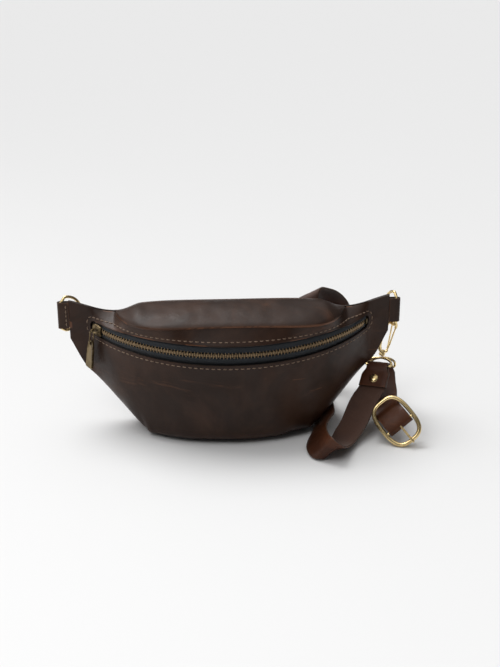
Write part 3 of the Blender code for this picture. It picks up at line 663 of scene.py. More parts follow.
def lifted(x):
    """How high the strap lifts the base."""
    return 3.4 * blend(x, 46.0, 59.0)


def crease(x):
    """The front leather's upper edge."""
    a = min(abs(x) / VALLEY_X, 1.0)
    y = CREASE_Y + (back_y(x) - WING_DEPTH - CREASE_Y) * a**7
    z = CREASE_HEIGHT - (CREASE_HEIGHT - VALLEY_HEIGHT) * a**2
    if abs(x) > VALLEY_X:
        z = top_z(x)
    return Vector((x, y, z))


def slot_half(x):
    a = abs(x) / SLOT_END_X
    return SLOT_HALF_MID - (SLOT_HALF_MID - SLOT_HALF_END) * a**3


def slot_opening(x):
    """Half the slot's height: rounded off at its ends and nothing beyond them."""
    half = slot_half(x)
    along = (zip_angle(SLOT_END_X) - abs(zip_angle(x))) * ZIP_RADIUS
    if along <= 0:
        return 0.0
    return half if along >= half else math.sqrt(half**2 - (half - along) ** 2)


def front_swell(x, z):
    """How far the front leather stands out from its plain shape."""
    away = blend(abs(z - zip_z(x)), slot_half(x) + 1.0, slot_half(x) + 16.0)
    below = 1.0 if z < zip_z(x) else 0.0
    low = 1.0 - blend(z, 2.0, 30.0)
    broad = 1.5 * noise.noise(Vector((x / 48.0 + 3.1, z / 34.0, 0.7)))
    small = 0.45 * noise.noise(Vector((x / 15.0, z / 21.0 + 5.2, 2.3)))
    folds = 0.3 * math.sin(x / 6.5 + z / 9.0) * blend(abs(x), 96.0, 128.0)
    folds *= 1 - blend(abs(x), 132.0, 150.0)
    dart = abs(x) - (LEFT_DART_X if x < 0 else RIGHT_DART_X) - 0.25 * z
    pinch = -3.4 * math.exp(-((dart / 1.7) ** 2)) + 1.4 * math.exp(-(((dart + 4.5) / 3.0) ** 2))
    shoulder = blend(abs(x), 96.0, 114.0) * (1 - blend(abs(x), 128.0, 146.0))
    shoulder *= 1 - blend(z, top_z(x) - 8.0, top_z(x) - 1.0)
    crumple = (1.0 - below) * away * shoulder * (0.9 * math.sin((abs(x) - 0.7 * z) / 3.6) + 1.1 * small)
    return below * away * (broad + small + folds) + pinch * low * below + crumple


def front_column(x):
    """Points down the front leather: those above the slot, and those below it to the back of the base."""
    top = crease(x)
    y = front_y(x)
    z = zip_z(x)
    half = slot_half(x) + 0.5
    opening = slot_opening(x)
    upper = Vector((x, y + 0.4, min(z + half, top.z - 2)))
    above = [top, upper]
    if half - opening > 0.6:
        above.append(Vector((x, y + 0.4 * opening / half, z + opening)))
    else:
        above[-1] = Vector((x, y + 0.4, z + opening))
    lower = Vector((x, y, z - half))
    below = [Vector((x, y, z - opening))]
    if half - opening > 0.6:
        below.append(lower)
    rear = back_y(x) - LEATHER - 0.8
    end = Vector((x, rear + (y + 0.2 - rear) * blend(abs(x), 138.0, 156.0), low_z(x)))
    power = 2.5 + 5.5 * (1 - blend(abs(x), 60.0, 150.0))
    bulge = 2.5 * (1 - blend(abs(x), 60.0, 140.0))
    steps = 60
    for k in range(1, steps + 1):
        t = k / steps * math.pi / 2
        across = math.cos(t) ** (2 / power)
        down = math.sin(t) ** (2 / power)
        bow = bulge * math.sin(2 * t) ** 2 * across
        y = end.y + (lower.y - end.y) * across - bow
        below.append(Vector((x, y, lower.z + (end.z - lower.z) * down)))
    for p in below:
        p.z = max(p.z, 0.0, lifted(x))
    return resample(above, ABOVE_SLOT_ROWS), resample(below, BELOW_SLOT_ROWS)


def crowded(count):
    """Numbers from -1 to 1 that lie closer together near their ends."""
    return [math.sin(math.pi / 2 * (2 * k / count - 1)) for k in range(count + 1)]


def front_stations():
    """Positions along X, close together where the slot's ends are round."""
    end = zip_angle(SLOT_END_X)
    slot = [ZIP_RADIUS * math.sin(end * share) for share in crowded(SLOT_COLUMNS)]
    step = (PANEL_HALF - SLOT_END_X) / WING_COLUMNS
    side = [SLOT_END_X + step * k for k in range(1, WING_COLUMNS + 1)]
    return [-x for x in reversed(side)] + slot + side


def leather_sheet(word, points, faces, outside, thickness, bevel):
    """A panel of the bag: a sheet with its thickness and cut edges."""
    name = word + "_leather"
    panel = piece(name, points, faces, [BAG, EDGE], "bag", [word + "_panel"], outside=outside)
    solid = panel.modifiers.new("thickness", "SOLIDIFY")
    solid.thickness = thickness * MM
    solid.offset = -1.0
    solid.material_offset_rim = 1
    solid.use_even_offset = False
    rounded = panel.modifiers.new("edges", "BEVEL")
    rounded.width = bevel * MM
    rounded.segments = 2
    rounded.limit_method = "ANGLE"
    rounded.angle_limit = math.radians(60)


def make_front_panel():
    """The front leather, open along the zip's slot."""
    points = []
    faces = []
    xs = front_stations()
    across = ABOVE_SLOT_ROWS + BELOW_SLOT_ROWS
    for x in xs:
        above, below = front_column(x)
        for p in above + below:
            p.y -= front_swell(p.x, p.z)
        points += above + below
    for i in range(len(xs) - 1):
        for k in range(across - 1):
            a = i * across + k
            if k != ABOVE_SLOT_ROWS - 1:
                faces.append((a, a + 1, a + 1 + across, a + across))
    leather_sheet("front", points, faces, Vector((0, -1, 0)), LEATHER, 0.45)


def slot_line(side, inset):
    """Points on the leather along the slot's upper or lower edge, an inset from it, and their normals."""
    end = zip_angle(SLOT_END_X + inset)
    found = []
    for share in crowded(160):
        angle = end * share
        x = ZIP_RADIUS * math.sin(angle)
        along = (end - abs(angle)) * ZIP_RADIUS
        half = slot_half(x) + inset
        if along < half:
            half = math.sqrt(max(half**2 - (half - along) ** 2, 0.0))
        z = zip_z(x) + side * half
        above, below = front_column(x)
        rows = above if side > 0 else [p for p in below if p.z >= zip_z(x) - 30]
        nearest = min(rows, key=lambda p: abs(p.z - z))
        found.append(Vector((x, nearest.y - front_swell(x, z), z)))
    normals = []
    for p in found:
        outwards = zip_point(zip_angle(p.x), 1.0) - zip_point(zip_angle(p.x))
        normals.append(outwards.normalized())
    return found, normals


def make_zip_seam():
    """One row of stitches all round the slot."""
    upper, up_normals = slot_line(1, STITCH_INSET)
    lower, low_normals = slot_line(-1, STITCH_INSET)
    path = upper + list(reversed(lower))[1:]
    normals = up_normals + list(reversed(low_normals))[1:]
    path = eased(path, 2)
    stitches("zip_stitches", path, normals, "bag")


def make_back_panel():
    """The back leather, which lies against the body and is almost flat."""
    xs = [PANEL_HALF * share for share in crowded(PANEL_COLUMNS)]
    points = []
    for x in xs:
        low = max(low_z(x), 0.0)
        high = top_z(x)
        for k in range(BACK_ROWS):
            t = k / (BACK_ROWS - 1)
            z = low + (high - low) * t
            inside = math.sin(math.pi * t) * (1 - blend(abs(x), 120.0, 160.0))
            broad = 1.3 * noise.noise(Vector((x / 52.0 + 8.0, z / 40.0, 4.4)))
            small = 0.4 * noise.noise(Vector((x / 17.0, z / 19.0, 9.1)))
            points.append(Vector((x, back_y(x) + inside * (0.8 + broad + small), z)))
    leather_sheet("back", points, grid_faces(len(xs), BACK_ROWS), Vector((0, 1, 0)), LEATHER, 0.45)


def make_top_panel():
    """The panel seen from above, rolled over the crease in front and cut off along the back panel's edge."""
    xs = [(VALLEY_X - 2.0) * share for share in crowded(PANEL_COLUMNS)]
    points = []
    for x in xs:
        front = crease(x) + Vector((0, 1.0, 1.9))
        rear = Vector((x, back_y(x) - LEATHER - GAP, top_z(x) + 0.2))
        depth = (rear - front).length
        crown = min(4.6, depth * 0.10)
        if depth > 3.0:
            roll = min(1.0, depth / 12.0)
            rolled = [(-0.35, -1.9 * roll), (-1.25 * roll, -0.7 * roll)]
            rolled += [(-1.15 * roll, 0.6 * roll), (-0.2, 1.5 * roll)]
            row = [crease(x) + Vector((0, out, up)) for out, up in rolled]
        else:
            row = [front.copy() for _ in range(4)]
        for k in range(1, TOP_ROWS + 1):
            t = k / TOP_ROWS
            dents = 1.5 * noise.noise(Vector((x / 34.0 + 1.7, t * 1.6, 3.3)))
            dents += 0.5 * noise.noise(Vector((x / 11.0, t * 3.5, 6.0)))
            pleats = 0.5 * math.sin(x / 5.2 + 3 * t) * blend(abs(x), 70.0, 104.0)
            lift = (crown + (dents + pleats) * min(1.0, depth / 25.0)) * math.sin(math.pi * t) ** 0.7
            row.append(front.lerp(rear, t) + Vector((0, 0, max(lift, -0.4))))
        points += row
    leather_sheet("top", points, grid_faces(len(xs), TOP_ROWS + 4), Vector((0, 0, 1)), 1.5, 0.4)


def make_tape(name, node, side):
    """Half of the zip's tape, from beside its teeth to under the leather."""
    points = []
    for k in range(TAPE_COLUMNS + 1):
        angle = math.radians(-52.4 + 105.4 * k / TAPE_COLUMNS)
        half = slot_half(ZIP_RADIUS * math.sin(angle))
        depth, reach = (-6.0, half + 0.8) if side > 0 else (-2.9, half + 2.0)
        section = [(2.6, -0.9), (3.4, -0.55), (4.6, -0.9), (half - 3.0, -1.25), (half - 1.8, -1.35)]
        section += [(reach, depth), (reach - 0.4, depth - 0.6), (half - 2.3, -1.9), (2.6, -1.8)]
        points += [zip_point(angle, out, side * up) for up, out in section]
    count = TAPE_COLUMNS + 1
    faces = grid_faces(count, 9, True) + caps(count, 9)
    piece(name, points, faces, [TAPE], "bag", [node], 60.0)


def rounded_square(count, power):
    """Pairs round a square with rounded corners, from -1 to 1."""
    pairs = []
    for k in range(count):
        a = 2 * math.pi * k / count
        c = math.copysign(abs(math.cos(a)) ** power, math.cos(a))
        s = math.copysign(abs(math.sin(a)) ** power, math.sin(a))
        pairs.append((c, s))
    return pairs


def tooth(angle, side):
    """One tooth: a clip round the tape's bead and a rounded head that reaches between its neighbours."""
    rings = []
    for up, half, low, high in (
        (3.5, 0.25, -1.5, -0.3),
        (3.2, 0.40, -2.1, 0.15),
        (2.1, 0.48, -2.3, 0.50),
        (0.6, 0.56, -2.2, 0.55),
        (-0.9, 0.72, -2.0, 0.40),
        (-1.5, 0.55, -1.5, 0.02),
        (-1.7, 0.25, -1.1, -0.4),
    ):
        middle = (low + high) / 2
        deep = (high - low) / 2
        for c, s in rounded_square(10, 0.6):
            rings.append(zip_point(angle + half * c / ZIP_RADIUS, middle + deep * s, side * up))
    return rings, grid_faces(7, 10, True) + caps(7, 10)


def make_teeth(name, node, side):
    """One row of teeth; the two rows stand half a pitch apart."""
    pitch = TOOTH_PITCH / ZIP_RADIUS
    angle = TEETH_FROM + (0.0 if side > 0 else pitch / 2)
    made = []
    while angle < TEETH_TO:
        made.append(tooth(angle + 0.65 / ZIP_RADIUS, side))
        angle += pitch
    points, faces = join(*made)
    piece(name, points, faces, [TEETH], "bag", [node], 50.0)


def make_stop():
    """The clip across both tapes where the teeth end: its legs wrap the beads."""
    rings = []
    for d in (-0.6, -0.3, 0.5, 1.3, 1.6):
        full = 1.0 if abs(d - 0.5) < 1.0 else 0.7
        for c, s in rounded_square(16, 0.5):
            rings.append(zip_point(STOP_ANGLE + d / ZIP_RADIUS, -1.0 + 1.7 * s * full, 3.4 * c * full))
    faces = grid_faces(5, 16, True) + caps(5, 16)
    piece("zip_end_stop", rings, faces, [AGED], "bag", ["zip_stop"], 50.0)


def make_slider():
    """The outer plate, shaped like a shield with turned flanges, and the bridge that carries the link."""
    rings = []
    count = 25
    for k in range(count):
        s = -6.5 + 13.0 * k / (count - 1)
        half = 6.0 - 0.9 * blend(abs(s), 2.5, 5.8) - 0.5 * blend(abs(s), 5.8, 6.5)
        top = 2.9 - 0.9 * blend(abs(s), 5.2, 6.5)
        low = [(-half + 0.9, -0.5), (-half + 0.1, -0.5), (-half, 0.2), (-half, 1.4)]
        low += [(-half + 0.5, top - 0.5), (-half + 1.4, top)]
        crown = [(-half * 0.4, top + 0.25), (0.0, top + 0.32), (half * 0.4, top + 0.25)]
        high = [(-up, out) for up, out in reversed(low)]
        under = [(half - 1.1, 0.9), (-half + 1.1, 0.9)]
        angle = SLIDER_ANGLE + s / ZIP_RADIUS
        rings += [zip_point(angle, out, up) for up, out in low + crown + high + under]
    body = (rings, grid_faces(count, 17, True) + caps(count, 17))
    along = (zip_point(SLIDER_ANGLE + 0.01) - zip_point(SLIDER_ANGLE - 0.01)).normalized()
    outwards = (zip_point(SLIDER_ANGLE, 1.0) - zip_point(SLIDER_ANGLE)).normalized()
    base = zip_point(SLIDER_ANGLE, 2.2)
    reach = 4.6
    arch = []
    for k in range(25):
        a = math.pi * k / 24
        rise = (BRIDGE_RISE - 0.4) * math.sin(a) ** 0.7
        arch.append(base + along * (reach * math.cos(a)) + outwards * rise)
    ends = [base - along * reach, base + along * reach]
    feet = [rod([end - ZIP_AXIS * 1.4, end + ZIP_AXIS * 1.4], 1.15) for end in ends]
    points, faces = join(body, tube(arch, lambda t: 0.9 + 0.25 * abs(2 * t - 1) ** 3), *feet)
    piece("slider", points, faces, [AGED], "slider", ["zip_slider"], 45.0)


def pull_frame():
    """The pull's directions: across it, out from the bag and down, from its joints."""
    out = joint_axis("pull_bar_swing")
    across = -joint_axis("pull_link_swing")
    pivot = joint_place("pull_link_swing")
    foot = joint_place("pull_bar_swing")
    return across, out, (foot - pivot).normalized(), pivot, foot


def make_pull_link():
    """The oval wire link between the slider's bridge and the bar."""
    _, out, drop, pivot, _ = pull_frame()
    loop = []
    for sign, middle in ((1, pivot), (-1, pivot + drop * LINK_LEG)):
        for k in range(13):
            a = math.pi * k / 12
            loop.append(middle + (out * math.cos(a) - drop * math.sin(a)) * (sign * LINK_HALF))
    points, faces = tube(loop, 0.72, True, 12)
    piece("pull_link_wire", points, faces, [AGED], "pull_link", ["zip_pull_link"], 60.0)


def make_pull_bar():
    """The flat bar with rounded corners, and the hole that the link passes through."""
    across, out, drop, _, foot = pull_frame()
    outline = [(-2.8, 0.0), (-2.75, 1.4), (-2.2, 2.7), (-1.0, 3.6), (1.0, 4.0), (4.2, 4.2)]
    outline += [(5.6, 3.9), (7.0, 4.5), (25.8, 4.9), (27.8, 4.7), (28.6, 3.9), (28.9, 0.0)]
    right = [(half, down) for down, half in outline]
    left = [(-half, down) for down, half in reversed(outline[1:-1])]
    edge = smooth_outline(right + left)
    count = len(edge)
    turns = [2 * math.pi * k / count for k in range(count)]
    hole = [(1.75 * math.sin(a), 0.5 - 1.75 * math.cos(a)) for a in turns]
    # Each layer: its outline, its place through the bar's thickness and how far it is drawn in
    layers = [(hole, -1.0, 0.0), (hole, 1.0, 0.0), (edge, 1.55, 0.55), (edge, 1.2, 0.1)]
    layers += [(edge, 0.0, 0.0), (edge, -1.2, 0.1), (edge, -1.55, 0.55)]
    centre = 13
    points = []
    for shape, deep, inset in layers:
        for side, down in shape:
            r = math.hypot(side, (down - centre) * 0.3)
            shrink = 1 - inset / max(r, 3.0)
            thin = 0.72 if down < 3.5 else 1.0
            place = foot + drop * (centre + (down - centre) * (1 - inset / 16))
            points.append(place + across * side * shrink + out * deep * thin)
    faces = grid_faces(len(layers), count, True)
    last = (len(layers) - 1) * count
    for k in range(count):
        faces.append((last + k, last + (k + 1) % count, (k + 1) % count, k))
    piece("pull_bar_metal", points, faces, [AGED], "pull_bar", ["zip_pull_bar"], 35.0)


def smooth_outline(corners):
    """A closed outline with a few points between its corners, as (side, down) pairs."""
    path = [Vector((a, b, 0)) for a, b in corners]
    count = len(path)
    found = []
    for i in range(count):
        a, b, c, d = path[i - 1], path[i], path[(i + 1) % count], path[(i + 2) % count]
        for step in range(3):
            p = between(a, b, c, d, step / 3)
            found.append((p.x, p.y))
    return found


def ring_place(side):
    """A D-ring's bar and the direction of its bow."""
    bar = joint_place("left_ring_swing" if side < 0 else "right_ring_swing")
    turn = math.radians(35 if side < 0 else 72)
    return bar, Vector((-side * math.cos(turn), math.sin(turn), 0))


def make_ring(name, node, body, side):
    """A D-ring: a straight bar and a bow."""
    bar, bow = ring_place(side)
    half = RING_BAR_HALF - 1.2
    loop = [bar + Vector((0, 0, half * (k / 6 - 1))) for k in range(12)]
    for k in range(41):
        a = math.pi / 2 - math.pi * k / 40
        loop.append(bar + bow * (5.0 + (RING_DEPTH - 5.0) * math.cos(a)) + Vector((0, 0, 18.0 * math.sin(a))))
    path = eased(resample(loop + [loop[0]], 90)[:-1], 2)
    metal(name, tube(path, RING_WIRE, True), body, node)


def make_ring_tab(name, node, side):
    """A leather strip folded round the ring's bar. Only the left one shows its stitches."""
    bar, _ = ring_place(side)
    inner = RING_WIRE + GAP + 0.25
    low, high = node_box(node)
    section = []
    for radius, order in ((inner + 1.5, range(17)), (inner, reversed(range(17)))):
        arc = []
        for k in order:
            a = -math.pi / 2 + math.pi * k / 16
            arc.append(Vector((side * math.cos(a), math.sin(a), 0)) * radius)
        tails = [Vector((-side * TAB_TAIL * s, 0, 0)) for s in (1.0, 0.95, 0.5)]
        section += [arc[0] + t for t in tails] + arc + [arc[-1] + t for t in reversed(tails)]
    count = len(section)
    rows = 17
    points = []
    for k in range(rows):
        t = k / (rows - 1)
        z = low.z + (high.z - low.z) * t
        pinch = 1 - 0.25 * (1 - math.sin(math.pi * min(max(t, 0.04), 0.96)) ** 0.3)
        for p in section:
            wobble = 0.25 * noise.noise(Vector((p.x / 9.0, z / 7.0, side * 3.0)))
            points.append(Vector((bar.x, bar.y + wobble, z)) + Vector((p.x, p.y * pinch, 0)))
    faces = grid_faces(rows, count, True) + caps(rows, count)
    indices = [0] * (len(faces) - 2) + [1, 1]
    piece(name, points, faces, [BAG, EDGE], "bag", [node], 50.0, indices)
    if side < 0:
        sewn = Vector((bar.x - side * 5.2, bar.y - inner - 1.62, 0))
        margin = 2.5
        heights = [low.z + margin + (high.z - low.z - 2 * margin) * k / 12 for k in range(13)]
        path = [sewn + Vector((0, 0, z)) for z in heights]
        normals = [Vector((0, -1, 0))] * len(path)
        stitches(name + "_stitches", path, normals, "bag", TAB_STITCH_PITCH, TAB_STITCH_LENGTH)


class HookPlace:
    """Where a snap hook sits: its foot at the swivel, its length axis and the side it is seen from."""

    def __init__(self, foot, swivel, ring_distance, clearance, eye_bar, eye_across):
        bar, bow = ring_place(1)
        a = -math.acos((ring_distance - 5.0) / (RING_DEPTH - 5.0))
        ring_point = bar + bow * ring_distance + Vector((0, 0, 18.0 * math.sin(a)))
        self.foot = foot
        self.up = swivel
        self.length = (ring_point - foot).length + clearance
        self.face = (-bow - self.up * (-bow).dot(self.up)).normalized()
        self.right = self.up.cross(self.face)
        self.bar = eye_bar
        self.down = (eye_bar - foot).normalized()
        self.across = eye_across
        self.eye_length = (eye_bar - foot).length

    def at(self, right, up, face=0.0):
        return self.foot + self.right * right + self.up * up + self.face * face


def metal(name, shape, body, node, angle=60.0):
    """A piece of polished brass."""
    points, faces = shape
    piece(name, points, faces, [SHINY], body, [node], angle)


def make_hook(word, place):
    """A snap hook: a bow that grows from a turned barrel."""
    reach = place.length
    spine = [(0, 4.0), (-3.2, 7.5), (-5.6, 12), (-6.3, 20), (-6.2, reach - 11), (-4.9, reach - 4.5)]
    spine += [(-1.6, reach - 0.5), (2.6, reach - 0.8), (5.4, reach - 3.6), (6.1, reach - 6.4)]
    bow = rod(smooth_path([place.at(r, u) for r, u in spine], 8), HOOK_WIRE)
    # The barrel's heights and radii, from the swivel up
    profile = [(1.2, 0.6), (1.3, 1.5), (1.6, 2.3), (2.0, 2.75), (2.4, 3.1), (3.2, 3.3), (4.0, 3.1)]
    profile += [(4.4, 2.7), (4.8, 2.6), (5.2, 2.9), (5.9, 3.3), (6.7, 3.3), (7.3, 2.9), (7.7, 2.1), (7.8, 0.8)]
    barrel = lathe(profile, place.at)
    arm = [(0, 4.8), (2.6, 5.8), (4.6, 7.2), (4.9, 8.0)]
    arm = rod(smooth_path([place.at(r, u) for r, u in arm], 5), 1.2)
    metal("hook_" + word + "_metal", join(bow, barrel, arm), word + "_hook", "hook_" + word, 45.0)


def make_gate(word, place):
    """The thin sprung bar that closes a hook's mouth."""
    reach = place.length
    line = [(4.9, 9.0), (5.4, reach * 0.35), (5.6, reach / 2), (6.1, reach - 7.4)]
    path = smooth_path([place.at(r, u) for r, u in line], 6)
    metal("gate_" + word + "_wire", rod(path, GATE_WIRE, 12), word + "_gate", "gate_" + word)


def make_eye(word, place):
    """The D-shaped eye that hangs on a hook's swivel: a crown, two shoulders and a straight bar."""
    half = EYE_HALF
    low = place.eye_length
    right = [(0.0, 0.9), (4.0, 1.3), (8.5, 2.6), (half - 0.8, 5.8), (half, low - 2.2)]
    right += [(half - 1.0, low - 0.4), (half - 2.4, low)]
    left = [(-r, d) for r, d in reversed(right[1:])]
    corners = [place.foot + place.across * r + place.down * d for r, d in [*right, *left]]
    loop = eased(smooth_path(corners + [corners[0]], 8)[:-1], 3)
    metal("eye_" + word + "_wire", tube(loop, EYE_WIRE, True), word + "_eye", "eye_" + word)


# Straps


def width_between(middle, width):
    """A strap's width by its length: narrow within an eye at the middle length, and full away from it."""

    def width_at(length):
        return STRAP_END_WIDTH + (width - STRAP_END_WIDTH) * blend(abs(length - middle), 6.0, 16.0)

    return width_at


def ribbon(name, centres, widths, width_at, body, node, grain_side):
    """A flat leather strap with rounded cut edges; its two faces show the grain and flesh sides."""
    count = len(centres)
    half_thick = STRAP_THICKNESS / 2
    points = []
    length = 0.0
    flat = 8
    edge = 4
    for i in range(count):
        along = (centres[min(i + 1, count - 1)] - centres[max(i - 1, 0)]).normalized()
        across = widths[i].normalized()
        face = along.cross(across).normalized()
        if i:
            length += (centres[i] - centres[i - 1]).length
        half = width_at(length) / 2
        section = []
        for k in range(flat):
            s = (half - 0.9) * (2 * k / (flat - 1) - 1)
            section.append((s, half_thick))
        section += [(half - 0.3, half_thick - 0.25), (half, half_thick - 0.8)]
        section += [(half, 0.8 - half_thick), (half - 0.3, 0.25 - half_thick)]
        section += [(-s, -n) for s, n in section[:]]
        for s, n in section:
            p = centres[i] + across * s + face * n
            ripple = 0.22 * noise.noise(p / 8.0) + 0.12 * noise.noise(p / 3.1)
            points.append(p + face * ripple * (1 if abs(s) < half - 0.2 else 0.4))
    ring = (flat + edge) * 2
    faces = grid_faces(count, ring, True) + caps(count, ring)
    # Round the section: the first face, an edge, the other face and the other edge
    first, other = (0, 2) if grain_side > 0 else (2, 0)
    kinds = [first] * (flat - 1) + [1] * edge + [other] * flat + [1] * (edge + 1)
    indices = kinds * (count - 1) + [1, 1]
    finishes = [STRAP, STRAP_EDGE, FLESH]
    piece(name, points, faces, finishes, body, [node], 40.0, indices)


def round_bar(bar, along, face, radius, lap, spread):
    """Centres of a strap folded round a bar, from the lap's end round to where the strap leaves."""
    found = []
    for k in range(13):
        s = lap * (1 - k / 12) + 3.0 * k / 12
        found.append(bar + along * s + face * (LAYER + (radius - LAYER) * (1 - blend(s, 2.0, spread))))
    for k in range(17):
        a = math.pi * k / 16
        found.append(bar + face * (radius * math.cos(a)) - along * (radius * math.sin(a)))
    for k in range(6):
        s = 3.0 + (spread - 3.0) * k / 5
        found.append(bar + along * s - face * (LAYER + (radius - LAYER) * (1 - blend(s, 2.0, spread))))
    return found


def on_floor(centres, widths, width, thickness):
    """Lifts the centres of a strap so that none of it is below the floor."""
    for i, centre in enumerate(centres):
        along = (centres[min(i + 1, len(centres) - 1)] - centres[max(i - 1, 0)]).normalized()
        across = (widths[i] - along * along.dot(widths[i])).normalized()
        face = along.cross(across)
        least = abs(across.z) * width / 2 + abs(face.z) * thickness / 2 + GAP
        centre.z = max(centre.z, least)


def fold(place, leaves):
    """A strap's directions at its fold: along it, across it, and out of its upper face."""
    across = place.across
    along = leaves - place.bar
    along = (along - across * across.dot(along)).normalized()
    return place.bar, along, across, along.cross(across)


def make_long_strap():
    """The strap from the first hook's eye: to the floor, a loop, under the bag and up behind it."""
    bar, along, across, face = fold(LONG_HOOK, LONG_LEAVES)
    start = round_bar(bar, along, face, FOLD_RADIUS, LONG_LAP, 8.0)
    route = [bar + along * 20 - face * LAYER, bar + along * 26 - face * LAYER]
    route += [Vector(p) for p, _ in LONG_ROUTE]
    turns = [across, across] + [Vector(w) for _, w in LONG_ROUTE]
    centres = start + eased(smooth_path(route, 10), 12)
    widths = [across] * len(start) + eased(smooth_path(turns, 10), 16)
    for _ in range(3):
        on_floor(centres, widths, STRAP_WIDTH, STRAP_THICKNESS)
    centres = centres[: len(start)] + eased(centres[len(start) :], 6)
    width_at = width_between(LONG_LAP + 3.0, STRAP_WIDTH)
    ribbon("long_strap_leather", centres, widths, width_at, "bag", "strap_long", -1)
    make_rivet("long_rivet_cap", "rivet_long", "bag", bar + along * LONG_RIVET, face, across)


def in_buckle(along, across, out):
    """A point from the buckle's middle, along it, across it and out of its front."""
    return BUCKLE_CENTRE + BUCKLE_LONG * along + BUCKLE_SHORT * across + BUCKLE_OUT * out


def make_short_strap():
    """The strap from the second hook's eye to its fold round the buckle's bar."""
    bar, along, across, face = fold(SHORT_HOOK, SHORT_LEAVES)
    start = round_bar(bar, along, -face, FOLD_RADIUS, SHORT_LAP, 8.0)
    turn = BAR_WIRE + 0.35 + STRAP_THICKNESS / 2
    route = [bar + along * 18 + face * LAYER]
    route += [Vector(p) for p, _ in SHORT_ROUTE]
    route += [in_buckle(-16.0, 0.2, -6.0), in_buckle(-10.5, 0.0, -1.4), in_buckle(-4.0, 0.0, 2.7)]
    turns = [across] + [Vector(w) for _, w in SHORT_ROUTE] + [BUCKLE_SHORT] * 3
    end = [BUCKLE_MIDDLE + BUCKLE_OUT * turn]
    for k in range(1, 13):
        a = math.pi * k / 12
        end.append(in_buckle(BAR_OFFSET + turn * math.sin(a), 0.0, turn * math.cos(a)))
    tail = ((-2.0, -3.0), (-7.0, -3.2), (-12.0, -4.6), (-15.0, -6.9))
    end += smooth_path([in_buckle(a, 0.0, n) for a, n in tail], 4)
    middle = smooth_path(route, 10)
    centres = start + eased(middle, 20) + end
    widths = [across] * len(start) + eased(smooth_path(turns, 10), 30) + [BUCKLE_SHORT] * len(end)
    width_at = width_between(SHORT_LAP + 3.0, SHORT_STRAP_WIDTH)
    ribbon("short_strap_leather", centres, widths, width_at, "short_strap", "strap_short", 1)
    make_rivet("short_rivet_cap", "rivet_short", "short_strap", bar + along * SHORT_RIVET, face, across)


def make_rivet(name, node, body, middle, face, across):
    """A domed cap with a rolled rim, a shank and a flat back."""
    other = face.cross(across)
    stack = LAYER + STRAP_THICKNESS / 2 + 0.1
    profile = [(-stack - 1.3, 0.5), (-stack - 1.3, 2.9), (-stack - 0.9, 3.7), (-stack, 3.9), (-stack, 1.35)]
    profile += [(stack, 1.35), (stack, RIVET_RADIUS - 0.3), (stack + 0.35, RIVET_RADIUS)]
    profile += [(stack + 0.7, RIVET_RADIUS - 0.25), (stack + 1.1, RIVET_RADIUS - 0.9)]
    profile += [(stack + 1.55, 2.9), (stack + 1.85, 1.6), (stack + 1.95, 0.4)]
    cap = lathe(profile, lambda a, h, b: middle + face * h + across * a + other * b, 28)
    metal(name, cap, body, node, 50.0)


def make_buckle():
    """The stadium-shaped frame and the bar across it."""
    loop = []
    for c, s in rounded_square(96, 0.68):
        loop.append(in_buckle(FRAME_HALF_LONG * c, FRAME_HALF_SHORT * s, 0.0))
    loop = resample(loop + [loop[0]], 97)[:-1]
    end = BUCKLE_SHORT * (FRAME_HALF_SHORT - 0.6)
    bar = tube([BUCKLE_MIDDLE - end, BUCKLE_MIDDLE, BUCKLE_MIDDLE + end], BAR_WIRE)
    metal("buckle_metal", join(tube(loop, FRAME_WIRE, True, 18), bar), "buckle", "buckle_frame")


def make_prong():
    """The prong: an open curl round the bar and a straight run that rests on the frame."""
    radius = BAR_WIRE + GAP + PRONG_WIRE
    rest = FRAME_WIRE + PRONG_WIRE + GAP
    path = []
    for k in range(21):
        a = math.radians(-30 - 12 * k)
        path.append(in_buckle(BAR_OFFSET + radius * math.cos(a), 0.0, radius * math.sin(a)))
    run = ((BAR_OFFSET + 6, radius + 0.1), (BAR_OFFSET + 14, rest - 0.1), (23, rest), (26.5, rest - 0.2))
    path += [in_buckle(along, 0.0, out) for along, out in run]
    metal("prong_metal", rod(smooth_path(path, 3), PRONG_WIRE, 12), "prong", "buckle_prong")


def finish_linings():
    """The linings are hidden in the closed bag, and keep their CAD shape."""
    for name in ("lining_back", "lining_front"):
        mesh = frame["nodes"][name].data
        mesh.materials.clear()
        mesh.materials.append(CLOTH)


def direction(turn, rise):
    """The way from the bag to something at a turn to the right and a rise, in degrees."""
    a, e = math.radians(turn), math.radians(rise)
    return Vector((math.sin(a) * math.cos(e), -math.cos(a) * math.cos(e), math.sin(e)))


def make_camera():
    """The photo's view of the bag."""
    camera = bpy.data.objects.new("camera", bpy.data.cameras.new("camera"))
    bpy.context.scene.collection.objects.link(camera)
    back = direction(CAMERA_TURN, CAMERA_RISE)
    camera.location = CAMERA_TARGET + back * CAMERA_DISTANCE
    camera.rotation_euler = (-back).to_track_quat("-Z", "Y").to_euler()
    camera.data.lens = CAMERA_LENS
    camera.data.sensor_width = 36.0
    camera.data.clip_start = 0.05
    camera.data.clip_end = 60.0
    bpy.context.scene.camera = camera


def aim(light, turn, rise, distance):
    """Puts a light at a turn and rise about the bag, facing it."""
    back = direction(turn, rise)
    light.location = back * distance + Vector((0, 0, 0.06))
    light.rotation_euler = back.to_track_quat("Z", "Y").to_euler()
    bpy.context.scene.collection.objects.link(light)


def make_floor():
    """A pale floor that reaches the horizon."""
    mesh = bpy.data.meshes.new("floor")
    corners = ((-1, -1), (1, -1), (1, 1), (-1, 1))
    mesh.from_pydata([(a * FLOOR_HALF, b * FLOOR_HALF, -FLOOR_DROP) for a, b in corners], [], [(0, 1, 2, 3)])
    floor = bpy.data.objects.new("floor", mesh)
    bpy.context.scene.collection.objects.link(floor)
    mesh.materials.append(Nodes("floor_paper").finish(FLOOR_COLOUR, 0.9, Specular_IOR_Level=0.0))


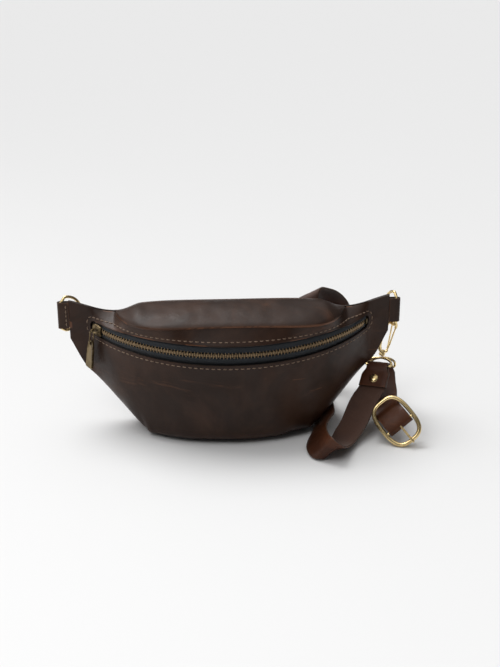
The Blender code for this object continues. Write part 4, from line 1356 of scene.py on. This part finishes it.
def make_sky():
    """Soft light from all round, brightest towards SKY_FROM."""
    world = bpy.data.worlds.new("studio")
    world.use_nodes = True
    nodes = world.node_tree.nodes
    link = world.node_tree.links.new
    side_on = nodes.new("ShaderNodeVectorMath")
    side_on.operation = "DOT_PRODUCT"
    side_on.inputs[1].default_value = SKY_FROM
    link(nodes.new("ShaderNodeTexCoord").outputs["Generated"], side_on.inputs[0])
    ramp = nodes.new("ShaderNodeValToRGB")
    ramp.color_ramp.interpolation = "EASE"
    for element, place, grey in zip(ramp.color_ramp.elements, (SKY_LOW, SKY_HIGH), (HORIZON, 1.0)):
        element.position = place
        element.color = (grey, grey, grey, 1.0)
    link(side_on.outputs["Value"], ramp.inputs["Fac"])
    link(ramp.outputs["Color"], nodes["Background"].inputs["Color"])
    nodes["Background"].inputs["Strength"].default_value = SKY_POWER
    bpy.context.scene.world = world


def make_lights():
    """A soft sun from behind the bag and the soft panels."""
    sun = bpy.data.objects.new("key", bpy.data.lights.new("key", "SUN"))
    sun.data.energy = KEY_POWER
    sun.data.angle = math.radians(KEY_SPREAD)
    aim(sun, KEY_TURN, KEY_RISE, SUN_DISTANCE)
    for name, turn, rise, power, width, height in PANELS:
        panel = bpy.data.objects.new("panel_" + name, bpy.data.lights.new("panel_" + name, "AREA"))
        panel.data.shape = "RECTANGLE"
        panel.data.size = width
        panel.data.size_y = height
        panel.data.energy = power
        aim(panel, turn, rise, PANEL_DISTANCE)


LONG_HOOK = HookPlace(
    joint_place("long_hook_swivel"), joint_axis("long_hook_swivel"), 8.0, 3.6,
    joint_place("long_eye_fold"), joint_axis("long_eye_fold"),
)
SHORT_HOOK = HookPlace(
    joint_place("short_eye_swivel"), joint_axis("short_eye_swivel"), 16.0, 4.7,
    joint_place("short_strap_fold"), joint_axis("short_strap_fold"),
)
make_camera()
make_floor()
make_sky()
make_lights()
bpy.context.scene.view_settings.view_transform = "Standard"
make_front_panel()
make_back_panel()
make_top_panel()
make_zip_seam()
make_tape("tape_upper_cloth", "zip_tape_upper", 1)
make_tape("tape_lower_cloth", "zip_tape_lower", -1)
make_teeth("teeth_upper_row", "zip_teeth_upper", 1)
make_teeth("teeth_lower_row", "zip_teeth_lower", -1)
make_stop()
make_slider()
make_pull_link()
make_pull_bar()
for word, side in (("left", -1), ("right", 1)):
    make_ring("ring_" + word + "_wire", "d_ring_" + word, "ring_" + word, side)
    make_ring_tab("tab_" + word + "_leather", "ring_tab_" + word, side)
for word, place in (("long", LONG_HOOK), ("short", SHORT_HOOK)):
    make_hook(word, place)
    make_gate(word, place)
    make_eye(word, place)
make_long_strap()
make_short_strap()
make_buckle()
make_prong()
finish_linings()
